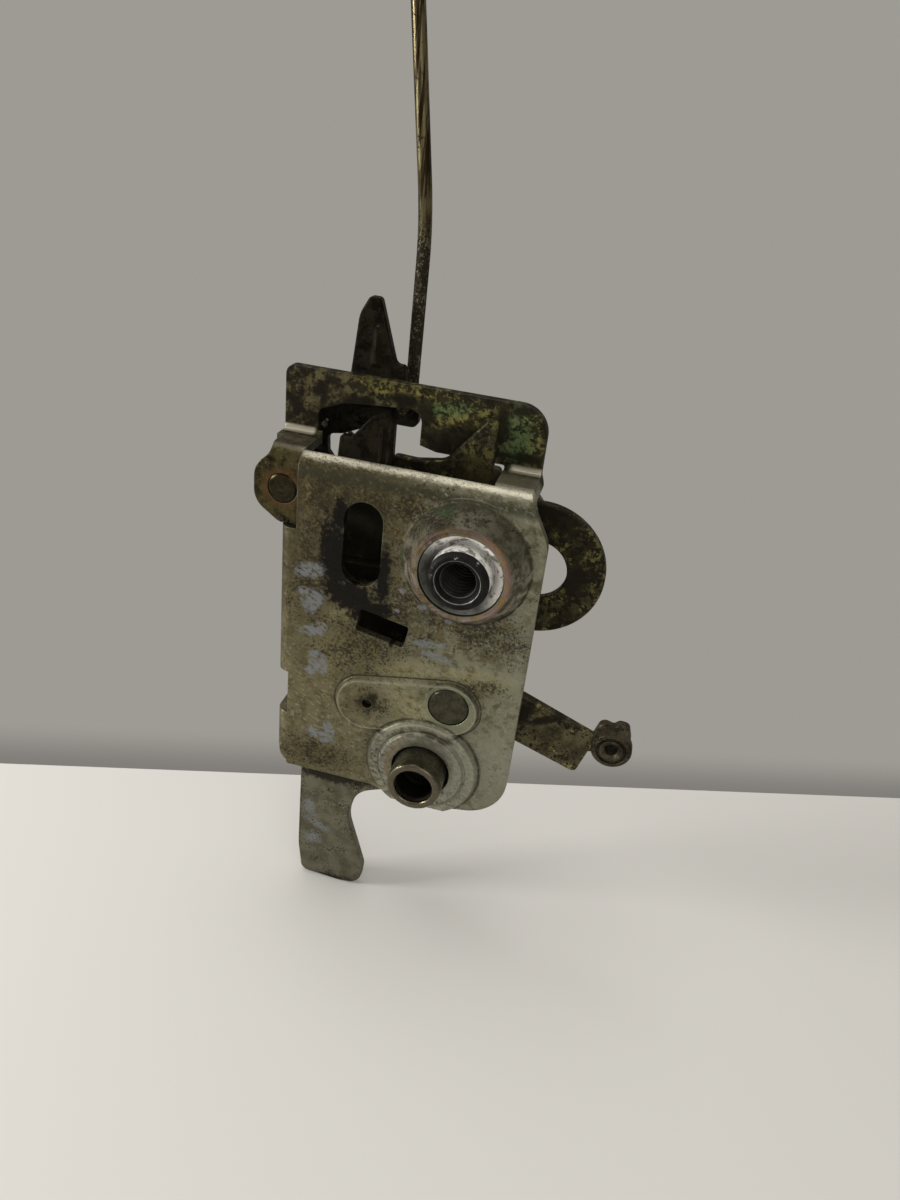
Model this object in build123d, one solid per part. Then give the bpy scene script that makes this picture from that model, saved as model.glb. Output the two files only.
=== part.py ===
from build123d import *
from math import atan2, cos, degrees, hypot, radians, sin
import os

# Car door lock, the lever half that bolts behind the door's shut face.
# Millimetres. X is to the right and Z up on the face, and -Y points out of the face.
# The origin is on the upper bush's axis, in the plane of the face.

# Sheets and the stack of layers behind the face, from front to back
sheet = 1.8                      # face plate thickness
bend_out = 2.6                   # outer radius of the folds
bend_in = bend_out - sheet       # inner radius of the folds
ridge_out = 3.8                  # outer radius of the fold between the face and the shelf
lever_sheet = 2.0                # thickness of the levers
layer_gap = 0.7                  # free height between two levers
outer_front = sheet + 1.2        # front of the outer handle lever
inner_front = outer_front + lever_sheet + layer_gap
release_front = inner_front + lever_sheet + layer_gap
wire_bite = 1.84                 # pitch of a spring's turns, in wire radii
release_wire = 0.4               # wire radius of the release lever's return spring
release_turns = 2
coil_float = 0.13                # free height at each end of a coil
release_stack = (2 + (release_turns - 1) * wire_bite) * release_wire + 2 * coil_float
rear_front = release_front + lever_sheet + release_stack
rear_sheet = 1.6                 # thickness of the bridge plate at the back
flange_step = 0.2                # the upper flange lies this much in front of the bridge plate
depth = rear_front - flange_step
run = 0.05                       # radial running clearance on the pivots
edge_break = 0.25                # broken edges of the stamped levers

# Places of the axes on the face
upper = (0.0, 0.0)               # upper threaded bush
lower = (-3.9, -48.2)            # lower threaded bush
pivot = (0.2, -31.5)             # rivet that carries the release and inner levers
ear = (-36.9, 7.4)               # stud that carries the lock lever

# Face outline
face_right = 14.2
face_left = -37.0
face_bottom = -56.7
face_bottom_right = -56.2
boss_bottom = -58.0              # lowest point of the bulge round the lower boss
corner_low_right = 9.5
corner_low_left = 3.6
shelf_top = 15.4
shelf_left = -40.2
shelf_right = 9.7

# Upper flange, its notch and the window in the shelf
flange_top = 27.9
flange_corner_left = 1.8
flange_corner_right = 5.5
notch_left = -34.3
notch_right = -13.9
notch_top_left = 20.2
notch_top_right = 23.6
notch_foot = 16.8                # where the notch's right side turns into the shelf
window_left = -33.3
window_right = 2.7

# Stepped ear
ear_step = 1.2                   # how far the ear lies behind the face
ear_radius = 5.7
ear_edge = -33.4                 # where the step runs

# Side wall, in two lengths
wall_top = 0.2
wall_bottom = -53.0
wall_gap_top = -32.6
wall_gap_bottom = -43.0

# Upper boss and bush
boss_radius = 12.4
boss_height = 5.3
boss_rim = 9.3
boss_mouth = 8.0
boss_foot = 10.3                 # inner radius at the back of the sheet
boss_wall = 1.2
bush_height = 7.7                # tip of both bushes above the face
bush_radius = 5.75
seat_rim = 4.9                   # dished seat round the bush, height of its rim above the face
seat_foot = 3.0                  # and of its foot, at the bush
seat_clear = 0.15                # round the seat, inside the boss
thread_radius = 3.324            # M8, minor radius
mouth_radius = 4.3               # countersink at the mouth
swage_radius = 5.0               # neck that is swaged into the bridge plate
swage_head = 6.3
swage_height = 0.9

# Lower boss and bush
low_boss_radius = 12.3
low_boss_height = 1.4
low_ring_radius = 8.8
low_ring_height = 0.6
low_hole_radius = 6.2
low_bush_radius = 5.6
low_mouth_radius = 3.95
low_mouth_depth = 6.0
low_flange_radius = 7.0

# Bridge plate
rear_left = -30.8
rear_tab = (-7.0, 2.2)           # tab that stands up behind the window, from left to right
rear_tab_top = 15.0

# Bean-shaped emboss
bean_left = (-17.4, -35.7)
bean_right = (0.2, -32.4)
bean_radius = 6.4
bean_height = 1.1
bean_wall = 1.2
bean_waist = 10.2                # distance of its hollowed lower side from the lower bush
bean_hole = (-16.7, -35.2)
bean_hole_radius = 1.1

# Openings in the face
slot_centre = (-20.2, -0.35)
slot_width = 7.6
slot_length = 17.4
window_hole_centre = (-15.1, -17.4)
window_hole_size = (10.2, 5.1)
window_hole_turn = -10.5

# Pivot rivet and ear pin
rivet_head = 4.15
rivet_shank = 3.0
rivet_neck = 2.4
ear_head = 2.9
ear_shank = 3.0
ear_neck = 2.2
ear_groove = 2.4                 # bottom of the clip's groove
ear_clip_gap = 0.25              # between the lock lever and the clip
ear_clip_sheet = 0.6

# Release lever
bush_clear = 0.2                 # the bush in the lever's arc slot
arc_end = 21.9                   # slot's far end, degrees to the right of the bush
ring_radius = 13.5
ring_pull = 0.5                  # ring's centre lies this much inside the slot's end
release_hub = 7.0
hub_blend = 2.5                  # inside corners where a lever leaves its hub
finger_apex = (0.3, 25.3)
finger_width = 1.6               # blunt top of the finger
shoulder_left = -18.4
shoulder_top = 15.1
finger_base = -8.0
driver_centre = -10.0            # height of the arm that crosses the oblong slot
driver_width = 3.6
driver_end = -27.0

# Fork and pin between the outer lever and the release lever
pin_radius = 1.3
pin_clear = 0.15
fork_lip = 1.8                   # fork's tip beyond the middle of the pin
fork_room = 1.2                  # between the pin and the bottom of the fork
fork_wall = 2.0

# Drive tab between the inner lever and the release lever
tab_radius = 12.0                # distance of the tab from the pivot rivet
tab_turn = 105.0                 # its direction, degrees from +X
tab_size = (4.0, 1.8)
tab_clear = 0.25

# Inner handle lever and its rod clip
inner_hub = 6.2
eye_centre = (33.4, -35.9)
eye_radius = 3.4
clip_stem = 2.0
clip_head = 4.1
clip_depth = 2.6
clip_socket = 1.3
clip_lobe_top = 6.4              # height of the clip's lobe above its middle

# Outer handle lever
outer_hub = 8.8
outer_left = -32.0
toe_bottom = -91.1

# Lock lever
rear_arm_gap = 0.5               # between the flange and the lever behind it
lock_front = depth + sheet + rear_arm_gap
finger_front = 3.6               # front of the lock lever's finger arm
finger_ribs = (-18.9, -17.4)     # two pressed ribs up its right side
finger_rib_top = 21.8
finger_rib_height = 0.5
lock_hub_wall = 1.3
arm_boss = 5.5                   # rounded end of both arms, on the ear pin
arm_tip = (-25.3, 41.9)
arm_rib = 0.7                    # height of the pressed rib in the pointed arm
rod_eye = (-18.3, 22.6)
rod_eye_radius = 3.1
eye_lug_top = 30.4               # lug beside the rod, between it and the pointed arm

# Lock rod
rod_radius = 1.25
rod_bend = 55.0                  # height where the rod bends
rod_top = (-25.2, 105.0)
rod_bend_radius = 100.0
rod_corner = 3.2                 # from the lever's back to the middle of the rod's long run

# Springs
outer_wire = 0.5                 # wire radius of the outer lever's return spring
outer_turns = 3
lock_wire = 0.45                 # wire radius of the hairpin spring
lock_coil = 2.6                  # radius of its turns
lock_coil_centre = (-22.5, 6.0)
coil_clear = 0.25                # between a coil and what it is wound on


# The face's plane: local x is +X, local y is +Z, and it looks out along -Y
def face_plane(y):
    return Plane(origin=(0, y, 0), x_dir=(1, 0, 0), z_dir=(0, -1, 0))


def plate(shape, front, thickness):
    """A flat sheet cut to the shape, with its front face at y = front."""
    return extrude(face_plane(front + thickness) * shape, amount=thickness)


def outline(*corners):
    """A closed outline through (x, z, corner radius)."""
    points = [(x, z) for x, z, r in corners]
    return make_face(FilletPolyline(*points, radius=[r for x, z, r in corners], close=True))


def disc(centre, radius):
    return Pos(*centre) * Circle(radius)


def turned(centre, *profile):
    """A turned piece about a line along Y, from its (radius, y) profile."""
    half = make_face(Polyline(*profile, close=True))
    body = revolve(Plane.XY * half, axis=Axis.Y)
    return Pos(centre[0], 0, centre[1]) * body


def polar(centre, radius, turn):
    return (centre[0] + radius * cos(radians(turn)), centre[1] + radius * sin(radians(turn)))


def broken(part, size=edge_break):
    """Breaks the sharp rims of both faces of a flat lever."""
    rims = part.edges().group_by(Axis.Y)
    return chamfer(rims[0] + rims[-1], size)


def blended(shape, radius, *places):
    """Rounds the inside corners of a flat shape that lie nearest to the places."""
    corners = [shape.vertices().sort_by_distance((x, z, 0))[0] for x, z in places]
    return fillet(corners, radius)


def coil(centre, radius, wire_radius, front, turns):
    """Close-wound turns, each a ring that just bites into the next."""
    rings = None
    for k in range(turns):
        y = front + wire_radius + k * wire_bite * wire_radius
        ring = Pos(centre[0], y, centre[1]) * Rot(90, 0, 0) * Torus(radius, wire_radius)
        rings = ring if rings is None else rings + ring
    return rings


def coil_length(wire_radius, turns):
    return (2 + (turns - 1) * wire_bite) * wire_radius


def bent_wire(points, corner, radius):
    """Round wire along straight runs joined by tangent arcs."""
    path = FilletPolyline(*points, radius=corner) if len(points) > 2 else Line(*points)
    start = Plane(origin=path @ 0, z_dir=path % 0)
    return sweep(start * Circle(radius), path=path)


# Front plate

def folded_strip(front, left, right):
    """Face, rolled shelf and upright flange as one bent strip, from left to right."""
    low = boss_bottom - 1
    ridge_in = ridge_out - sheet
    profile = FilletPolyline(
        (front, low), (front, shelf_top), (depth, shelf_top), (depth, flange_top + 1),
        (depth + sheet, flange_top + 1), (depth + sheet, shelf_top - sheet),
        (front + sheet, shelf_top - sheet), (front + sheet, low),
        radius=[0, ridge_out, bend_in, 0, 0, bend_out, ridge_in, 0], close=True)
    side = Plane(origin=(left, 0, 0), x_dir=(0, 1, 0), z_dir=(1, 0, 0))
    return extrude(side * make_face(profile), amount=right - left)


def front_plate():
    wall_root = face_left + bend_out
    bulge = low_boss_radius + 0.6
    silhouette = outline(
        (shelf_left - 0.8, flange_top, flange_corner_left),
        (shelf_right, flange_top, flange_corner_right),
        (shelf_right, shelf_top - 0.2, 1.5),
        (face_right, shelf_top - 8.6, 6.0),
        (face_right, face_bottom_right, corner_low_right),
        (lower[0] + bulge * 0.55, boss_bottom, 2.0),
        (lower[0] - bulge * 0.55, boss_bottom, 3.0),
        (lower[0] - bulge * 0.85, face_bottom, 3.0),
        (wall_root, face_bottom, 0.6),
        (wall_root, wall_top, 0),
        (ear_edge, wall_top, 0),
        (ear_edge, shelf_top - sheet, 0),
        (shelf_left - 0.8, shelf_top - sheet, 0))
    body = folded_strip(0, shelf_left - 0.8, face_right) & plate(silhouette, -1, depth + 4)
    # the recessed strip on the left replaces the shelf's end there
    body -= Pos(ear_edge - 10, 0, shelf_top) * Box(20, 2 * depth - 8, 3 * sheet)

    ear_left = ear[0] - ear_radius
    ear_foot = wall_top + 0.4
    ear_shape = outline(
        (shelf_left - 0.8, flange_top, flange_corner_left),
        (ear_edge + 1.0, flange_top, 0),
        (ear_edge + 1.0, ear_foot, 0),
        (ear[0] - 0.8, ear_foot, 1.0),
        (ear_left, ear[1] - 3.4, 4.5),
        (ear_left, ear[1] + 3.6, 5.0),
        (shelf_left + 1.2, shelf_top - 1.0, 2.0),
        (shelf_left - 0.8, shelf_top + 1.5, 2.0))
    body += folded_strip(ear_step, ear_left - 1.0, ear_edge + 1.0) & plate(ear_shape, 0, depth + 4)

    # side wall, folded back along the left edge
    wall_profile = FilletPolyline(
        (wall_root + 2, 0), (face_left, 0), (face_left, depth), (face_left + sheet, depth),
        (face_left + sheet, sheet), (wall_root + 2, sheet),
        radius=[0, bend_out, 0.6, 0.6, bend_in, 0], close=True)
    wall = extrude(Plane.XY.offset(wall_bottom) * make_face(wall_profile), amount=wall_top - wall_bottom)
    gap_height = wall_gap_top - wall_gap_bottom
    gap_box = Box(bend_out * 2, 3 * depth, gap_height, align=(Align.MAX, Align.CENTER, Align.MIN))
    wall -= Pos(wall_root, 0, wall_gap_bottom) * gap_box
    body += wall
    corner_low = outline(
        (wall_root + 3, wall_bottom + 1, 0),
        (face_left + 0.8, wall_bottom + 1, 0),
        (face_left + 0.8, face_bottom, corner_low_left),
        (wall_root + 3, face_bottom, 0))
    body += plate(corner_low, 0.45, sheet - 0.45)

    # lever window in the shelf and the notch in the flange above it
    window_front = bend_out + 0.2
    window = Box(window_right - window_left, depth - window_front, 4 * sheet,
                 align=(Align.MIN, Align.MIN, Align.CENTER))
    body -= Pos(window_left, window_front, shelf_top) * window
    notch = outline(
        (notch_left, shelf_top - 2 * sheet, 0.8),
        (notch_right, shelf_top - 2 * sheet, 0.8),
        (notch_right, notch_top_right, 2.5),
        (notch_left + 5.5, notch_top_left + 2.2, 4.0),
        (notch_left, notch_top_left, 1.5))
    body -= plate(notch, depth - 0.01, sheet + 1)
    tab_gap = outline(
        (notch_right - 1, shelf_top - 2 * sheet, 0),
        (window_right, shelf_top - 2 * sheet, 0),
        (window_right, shelf_top + 0.6, 0.5),
        (notch_right + 3.3, shelf_top + 0.6, 0.8),
        (notch_right, notch_foot, 0.3),
        (notch_right - 1, notch_foot, 0))
    body -= plate(tab_gap, depth - 0.01, sheet + 1)

    # drawn upper boss: a steep cone with a rounded rim and an open mouth
    body -= plate(disc(upper, boss_radius - 0.2), -0.5, sheet + 1)
    body += turned(
        upper,
        (boss_radius + 0.6, 0), (boss_radius, -0.15), (boss_radius - 0.4, -0.6),
        (boss_rim + 0.25, -boss_height + 0.7), (boss_rim, -boss_height + 0.25),
        (boss_rim - 0.35, -boss_height), (boss_mouth, -boss_height),
        (boss_mouth, -boss_height + boss_wall), (boss_foot, sheet), (boss_radius + 0.6, sheet))

    # low boss round the lower bush, with its raised ring
    raised = low_boss_height + low_ring_height
    body -= plate(disc(lower, low_boss_radius - 0.4), -0.5, sheet + 1) & plate(silhouette, -1, depth)
    low_boss = turned(
        lower,
        (low_boss_radius, 0), (low_boss_radius - 0.9, -low_boss_height),
        (low_ring_radius + 0.4, -low_boss_height), (low_ring_radius, -raised),
        (low_hole_radius, -raised), (low_hole_radius, sheet - low_boss_height),
        (low_boss_radius - 2.0, sheet - low_boss_height), (low_boss_radius - 1.2, sheet),
        (low_boss_radius, sheet))
    body += low_boss & plate(silhouette, -raised - 1, depth)

    # bean-shaped emboss with the rivet's seat and a small hole
    span = hypot(bean_right[0] - bean_left[0], bean_right[1] - bean_left[1])
    turn = degrees(atan2(bean_right[1] - bean_left[1], bean_right[0] - bean_left[0]))
    middle = ((bean_left[0] + bean_right[0]) / 2, (bean_left[1] + bean_right[1]) / 2)
    bean = Pos(*middle) * Rot(0, 0, turn) * SlotCenterToCenter(span, 2 * bean_radius)
    bean = blended(bean - disc(lower, bean_waist), 3.0, (-11.2, -41.0), (0.3, -38.9))
    pocket = Pos(*middle) * Rot(0, 0, turn) * SlotCenterToCenter(span, 2 * (bean_radius - bean_wall))
    pocket -= disc(lower, bean_waist + bean_wall)
    body += extrude(face_plane(0.2) * bean, amount=bean_height + 0.2, taper=25)
    body -= plate(pocket, sheet - bean_height, bean_height + 0.1)
    body -= plate(disc(bean_hole, bean_hole_radius), -4, 8)

    # openings
    body -= plate(Pos(*slot_centre) * Rot(0, 0, 90) * SlotOverall(slot_length, slot_width), -1, 4)
    turned_hole = Pos(*window_hole_centre) * Rot(0, 0, window_hole_turn) * RectangleRounded(
        *window_hole_size, 0.6)
    body -= plate(turned_hole, -1, 4)
    body -= plate(disc(pivot, rivet_neck + run), -4, 8)
    body -= plate(disc(pivot, rivet_head + 0.1), -bean_height - 1, 1.7)
    body -= plate(disc(ear, ear_neck + run), -1, 6)
    body -= plate(disc(ear, ear_head + 0.1), ear_step - 1, 1.5)
    return body


# Bridge plate at the back

def rear_plate():
    shape = outline(
        (rear_left, shelf_top - 3.2, 3.0),
        (rear_tab[0], shelf_top - 3.2, 1.0),
        (rear_tab[0], rear_tab_top, 1.0),
        (rear_tab[1], rear_tab_top, 1.0),
        (rear_tab[1], shelf_top - 3.2, 1.0),
        (11.6, shelf_top - 3.2, 5.0),
        (11.6, -12.0, 6.0),
        (9.0, -26.0, 8.0),
        (9.0, lower[1] - 2.0, 8.0),
        (lower[0] + 3, lower[1] - 9.6, 5.0),
        (lower[0] - 7, lower[1] - 9.6, 5.0),
        (-25.0, -50.0, 5.0),
        (rear_left, -25.0, 12.0))
    body = plate(shape, rear_front, rear_sheet)
    for centre in (upper, lower):
        body -= plate(disc(centre, swage_radius + run), rear_front - 1, rear_sheet + 2)
    body -= plate(disc(pivot, rivet_neck + run), rear_front - 1, rear_sheet + 2)
    # the springs' anchor holes
    body -= plate(disc(lock_anchor, lock_wire + run), rear_front - 1, rear_sheet + 2)
    body -= plate(disc(release_anchor, release_wire + run), rear_front - 1, rear_sheet + 2)
    body -= plate(disc(outer_anchor, outer_wire + run), rear_front - 1, rear_sheet + 2)
    return body


# Bushes

def swaged_end(radius):
    """Profile of a bush's rear end: shoulder, neck through the plate and swaged head."""
    back = rear_front + rear_sheet
    return [(radius, rear_front), (swage_radius, rear_front), (swage_radius, back),
            (swage_head, back), (swage_head - 0.3, back + swage_height), (thread_radius, back + swage_height)]


def upper_bush():
    """Threaded bush with a dished seat that fills the boss's mouth."""
    seat_edge = boss_mouth - seat_clear
    return turned(
        upper,
        (thread_radius, -bush_height + 1.0), (mouth_radius, -bush_height),
        (bush_radius - 0.75, -bush_height), (bush_radius, -bush_height + 0.7),
        (bush_radius, -seat_foot), (seat_edge, -seat_rim), (seat_edge, 0), (bush_radius, 0),
        *swaged_end(bush_radius))


def lower_bush():
    seat = sheet - low_boss_height
    return turned(
        lower,
        (low_mouth_radius, -bush_height + 0.3), (low_mouth_radius + 0.3, -bush_height),
        (low_bush_radius - 0.45, -bush_height), (low_bush_radius - 0.1, -bush_height + 0.3),
        (low_bush_radius, -bush_height + 0.8), (low_bush_radius, seat),
        (low_flange_radius, seat), (low_flange_radius, outer_front - 0.3),
        (low_bush_radius, outer_front - 0.3), *swaged_end(low_bush_radius),
        (thread_radius, -bush_height + low_mouth_depth + 0.6),
        (low_mouth_radius, -bush_height + low_mouth_depth))


# Pivot rivet, ear pin and their small parts

def pivot_rivet():
    front = sheet - bean_height
    back = rear_front + rear_sheet
    return turned(
        pivot,
        (0, -bean_height - 0.1), (rivet_head - 0.3, -bean_height - 0.1), (rivet_head, -bean_height + 0.2),
        (rivet_head, -bean_height + 0.7), (rivet_neck, -bean_height + 0.7), (rivet_neck, front),
        (rivet_shank, front), (rivet_shank, rear_front), (rivet_neck, rear_front), (rivet_neck, back),
        (rivet_head - 0.4, back), (rivet_head - 0.9, back + 0.9), (0, back + 1.1))


def ear_pin():
    seat = ear_step + sheet
    groove = lock_front + lever_sheet + ear_clip_gap
    end = groove + ear_clip_sheet + 0.9
    return turned(
        ear,
        (0, ear_step - 0.1), (ear_head - 0.3, ear_step - 0.1), (ear_head, ear_step + 0.1),
        (ear_head, ear_step + 0.5), (ear_neck, ear_step + 0.5), (ear_neck, seat), (ear_shank, seat),
        (ear_shank, groove), (ear_groove, groove), (ear_groove, end - 0.8),
        (ear_shank, end - 0.8), (ear_shank, end - 0.3), (ear_shank - 0.4, end), (0, end))


def ear_pin_clip():
    """Open retaining ring, snapped in the pin's groove."""
    ring = Circle(ear_shank + 1.9) - Circle(ear_groove + run)
    ring -= Pos(0, -4) * Rectangle(2.6, 8)
    return plate(Pos(*ear) * Rot(0, 0, -60) * ring, lock_front + lever_sheet + ear_clip_gap, ear_clip_sheet)


def pivot_spacer():
    return turned(
        pivot, (rivet_shank + run, sheet - bean_height), (rivet_shank + 1.1, sheet - bean_height),
        (rivet_shank + 1.1, inner_front - 0.1), (rivet_shank + run, inner_front - 0.1))


def lever_washer():
    front = inner_front + lever_sheet + 0.1
    return turned(
        pivot, (rivet_shank + run, front), (inner_hub - 0.4, front),
        (inner_hub - 0.4, release_front - 0.1), (rivet_shank + run, release_front - 0.1))


def bush_spacer():
    front = outer_front + lever_sheet + coil_length(outer_wire, outer_turns) + 2 * coil_float
    return turned(
        lower, (low_bush_radius + run, front), (low_bush_radius + 0.9, front),
        (low_bush_radius + 0.9, rear_front), (low_bush_radius + run, rear_front))


# Release lever: ring-shaped eye, triangular finger, slot driver and fork

def from_pivot(radius, right):
    """A point at this distance from the pivot rivet, turned right from straight up."""
    return polar(pivot, radius, 90 - right)


def release_lever():
    lever_long = hypot(upper[0] - pivot[0], upper[1] - pivot[1])
    start = degrees(atan2(upper[0] - pivot[0], upper[1] - pivot[1]))
    slot_half = bush_radius + bush_clear
    ring_centre = from_pivot(lever_long, arc_end - ring_pull)
    body = disc(pivot, release_hub) + disc(ring_centre, ring_radius)
    spine = outline(
        (pivot[0] - 4.0, pivot[1] + 1.0, 0),
        (pivot[0] + 4.0, pivot[1] + 1.0, 0),
        (pivot[0] + 7.0, pivot[1] + 8.5, 4.0),
        (upper[0] + 14.0, upper[1] - 13.5, 4.0),
        (finger_apex[0] + finger_width / 2, upper[1] + 10.0, 0.5),
        (finger_apex[0] + finger_width / 2, finger_apex[1], 0.7),
        (finger_apex[0] - finger_width / 2, finger_apex[1], 0.7),
        (finger_base, shoulder_top + 0.9, 3.0),
        (finger_base - 5.5, shoulder_top, 4.0),
        (shoulder_left, shoulder_top + 0.2, 1.2),
        (shoulder_left + 0.6, upper[1] + 9.0, 3.0),
        (upper[0] - 12.5, upper[1] + 2.0, 5.0),
        (upper[0] - 12.5, upper[1] - 15.0, 4.0),
        (pivot[0] - 7.0, pivot[1] + 8.5, 4.0))
    body += spine
    body = blended(body, hub_blend, (pivot[0] - 5.4, pivot[1] + 4.5), (pivot[0] + 5.4, pivot[1] + 4.5))
    driver = outline(
        (upper[0] - 10.0, driver_centre + driver_width / 2, 0.5),
        (driver_end, driver_centre + driver_width / 2 - 0.6, 1.2),
        (driver_end, driver_centre - driver_width / 2, 1.2),
        (upper[0] - 10.0, driver_centre - driver_width / 2 - 1.5, 0.5))
    body += driver
    # tail with the open fork for the drive pin
    tail = degrees(atan2(lower[1] - pivot[1], lower[0] - pivot[0]))
    fork_end = pin_reach + fork_lip
    stem = Rot(0, 0, tail) * Pos(fork_end / 2, 0) * RectangleRounded(
        fork_end, 2 * (pin_radius + pin_clear + fork_wall), 1.0)
    body += Pos(*pivot) * stem
    mouth = Rot(0, 0, tail) * Pos(fork_end, 0) * SlotOverall(
        2 * (fork_lip + pin_radius + fork_room), 2 * (pin_radius + pin_clear))
    body -= Pos(*pivot) * mouth
    # arc slot round the upper bush, centred on the pivot rivet
    rim = lever_long
    arc = CenterArc(pivot, rim, 90 - arc_end, arc_end - start)
    body -= trace(arc, 2 * slot_half)
    body -= disc(from_pivot(rim, arc_end), slot_half) + disc(from_pivot(rim, start), slot_half)
    body -= disc(pivot, rivet_shank + run)
    tab_hole = Rot(0, 0, tab_turn) * Rectangle(tab_size[1] + 2 * tab_clear, tab_size[0] + 2 * tab_clear)
    body -= Pos(*polar(pivot, tab_radius, tab_turn)) * tab_hole
    body -= disc(release_hook, release_wire + 0.1)
    return broken(plate(body, release_front, lever_sheet))


# Inner handle lever and its rod clip

def inner_handle_lever():
    arm = outline(
        (pivot[0] + 1.5, pivot[1] + 5.9, 1.0),
        (face_right, -29.4, 8.0),
        (30.3, -35.5, 1.0),
        (28.9, -39.6, 0.8),
        (27.2, -45.3, 1.0),
        (face_right, -41.0, 8.0),
        (pivot[0] + 2.4, pivot[1] - 5.7, 1.0))
    body = disc(pivot, inner_hub) + arm + disc(eye_centre, eye_radius)
    neck = outline(
        (28.0, -35.3, 0), (eye_centre[0], eye_centre[1] + 1.9, 0),
        (eye_centre[0], eye_centre[1] - 2.4, 0), (28.0, -39.5, 0))
    body += neck
    tab_base = Rot(0, 0, tab_turn) * Pos((tab_radius + 0.9) / 2, 0) * RectangleRounded(
        tab_radius + 0.9, tab_size[0] + 1.0, 0.8)
    body += Pos(*pivot) * tab_base
    body -= disc(pivot, rivet_shank + run)
    body -= disc(eye_centre, clip_stem + run)
    lever = broken(plate(body, inner_front, lever_sheet))
    tab = Rot(0, 0, tab_turn) * Rectangle(tab_size[1], tab_size[0])
    tab = Pos(*polar(pivot, tab_radius, tab_turn)) * tab
    return lever + plate(tab, inner_front + 0.5, release_front + lever_sheet - inner_front)


def rod_clip():
    """Swivelling clip: round head with a socket and a lobe, on a grooved stem through the eye."""
    front = inner_front - clip_depth - 0.1
    back = inner_front + lever_sheet + 0.1
    body = turned(
        eye_centre,
        (clip_socket, front + 0.5), (clip_socket + 0.6, front), (clip_socket + 1.1, front),
        (clip_socket + 1.1, front + 0.5), (clip_head - 1.0, front + 0.5), (clip_head - 1.0, front),
        (clip_head - 0.4, front), (clip_head, front + 0.5), (clip_head, inner_front - 0.4),
        (clip_head - 0.3, inner_front - 0.1), (clip_stem, inner_front - 0.1), (clip_stem, back),
        (clip_stem + 0.6, back), (clip_stem + 0.3, back + 0.8), (clip_socket, back + 0.8))
    # lobe with two humps, above the head
    lobe = outline(
        (-4.3, 2.2, 0.4),
        (-3.1, clip_lobe_top - 0.1, 1.4),
        (-0.6, clip_lobe_top - 0.8, 0.8),
        (0.4, clip_lobe_top + 0.2, 1.0),
        (2.4, clip_lobe_top, 1.3),
        (3.4, 3.0, 1.0),
        (1.6, 1.6, 0),
        (-1.6, 1.6, 0))
    knob = broken(plate(Pos(*eye_centre) * lobe, front + 0.2, inner_front - front - 0.7))
    knob -= Pos(eye_centre[0], 0, eye_centre[1]) * Rot(90, 0, 0) * Cylinder(
        clip_head - 0.5, 4 * inner_front)
    return body + knob


# Outer handle lever, the boot-shaped one

def outer_handle_lever():
    nose = drive_pin_centre
    boot = outline(
        (lower[0], lower[1] + 7.5, 0),
        (-14.0, -43.4, 4.0),
        (outer_left, -47.0, 4.0),
        (outer_left - 0.1, toe_bottom + 9.0, 20.0),
        (outer_left + 0.9, toe_bottom + 0.6, 2.0),
        (outer_left + 10.0, toe_bottom, 12.0),
        (-16.5, toe_bottom + 0.5, 3.6),
        (-16.0, toe_bottom + 6.5, 4.0),
        (-20.6, toe_bottom + 21.0, 10.0),
        (-18.6, toe_bottom + 28.4, 6.0),
        (-12.8, lower[1] - 12.0, 2.5),
        (lower[0], lower[1] - 5.5, 0))
    body = boot + disc(lower, outer_hub)
    body = blended(body, hub_blend, (lower[0] - 6.7, lower[1] + 5.7))
    body += disc(nose, pin_radius + 1.7)
    body -= disc(lower, low_bush_radius + run)
    body -= disc(nose, pin_radius)
    body -= disc(outer_hook, outer_wire + 0.1)
    return broken(plate(body, outer_front, lever_sheet))


def drive_pin():
    """Pin riveted in the outer lever's nose, standing back through the release lever's fork."""
    front = outer_front - 0.4
    back = release_front + lever_sheet + 0.6
    return turned(
        drive_pin_centre,
        (0, front), (pin_radius - 0.2, front), (pin_radius, front + 0.3),
        (pin_radius, back - 0.3), (pin_radius - 0.3, back), (0, back))


# Lock lever: rear arm, front finger and the sleeve between them

def lock_lever():
    body = disc(ear, arm_boss)
    body += outline(
        (ear[0] - 3.6, ear[1], 0),
        (ear[0] - 4.4, 17.0, 4.0),
        (-33.0, 23.0, 6.0),
        (-29.3, 25.5, 2.0),
        (-28.0, 38.6, 6.0),
        (arm_tip[0] - 0.9, arm_tip[1], 0.9),
        (arm_tip[0] + 1.2, arm_tip[1], 0.9),
        (arm_tip[0] + 4.8, eye_lug_top, 1.2),
        (rod_eye[0] - 0.3, eye_lug_top, 0.8),
        (rod_eye[0], rod_eye[1] + rod_eye_radius + 1.5, 1.0),
        (rod_eye[0] + rod_eye_radius, rod_eye[1] + rod_eye_radius, rod_eye_radius - 0.5),
        (rod_eye[0] + rod_eye_radius, rod_eye[1] - rod_eye_radius - 0.4, 1.4),
        (rod_eye[0] - 2.4, rod_eye[1] - rod_eye_radius - 0.4, 1.5),
        (-24.8, 17.8, 3.0),
        (-30.0, 15.4, 3.0),
        (-33.2, 14.9, 1.5),
        (ear[0] + 4.2, ear[1], 0))
    body -= disc(ear, ear_shank + run)
    body -= disc(rod_eye, rod_radius + run)
    body -= disc(lock_hook, lock_wire + run)
    lever = broken(plate(body, lock_front, lever_sheet))
    # pressed rib up the middle of the pointed arm
    rib_foot = flange_top + 1.0
    rib = outline(
        (-25.9, rib_foot, 0.6), (-25.0, 39.0, 0.4), (-23.9, 39.0, 0.4), (-22.6, rib_foot, 0.6))
    return lever + extrude(face_plane(lock_front + 0.3) * rib, amount=arm_rib + 0.3, taper=50)


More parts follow.
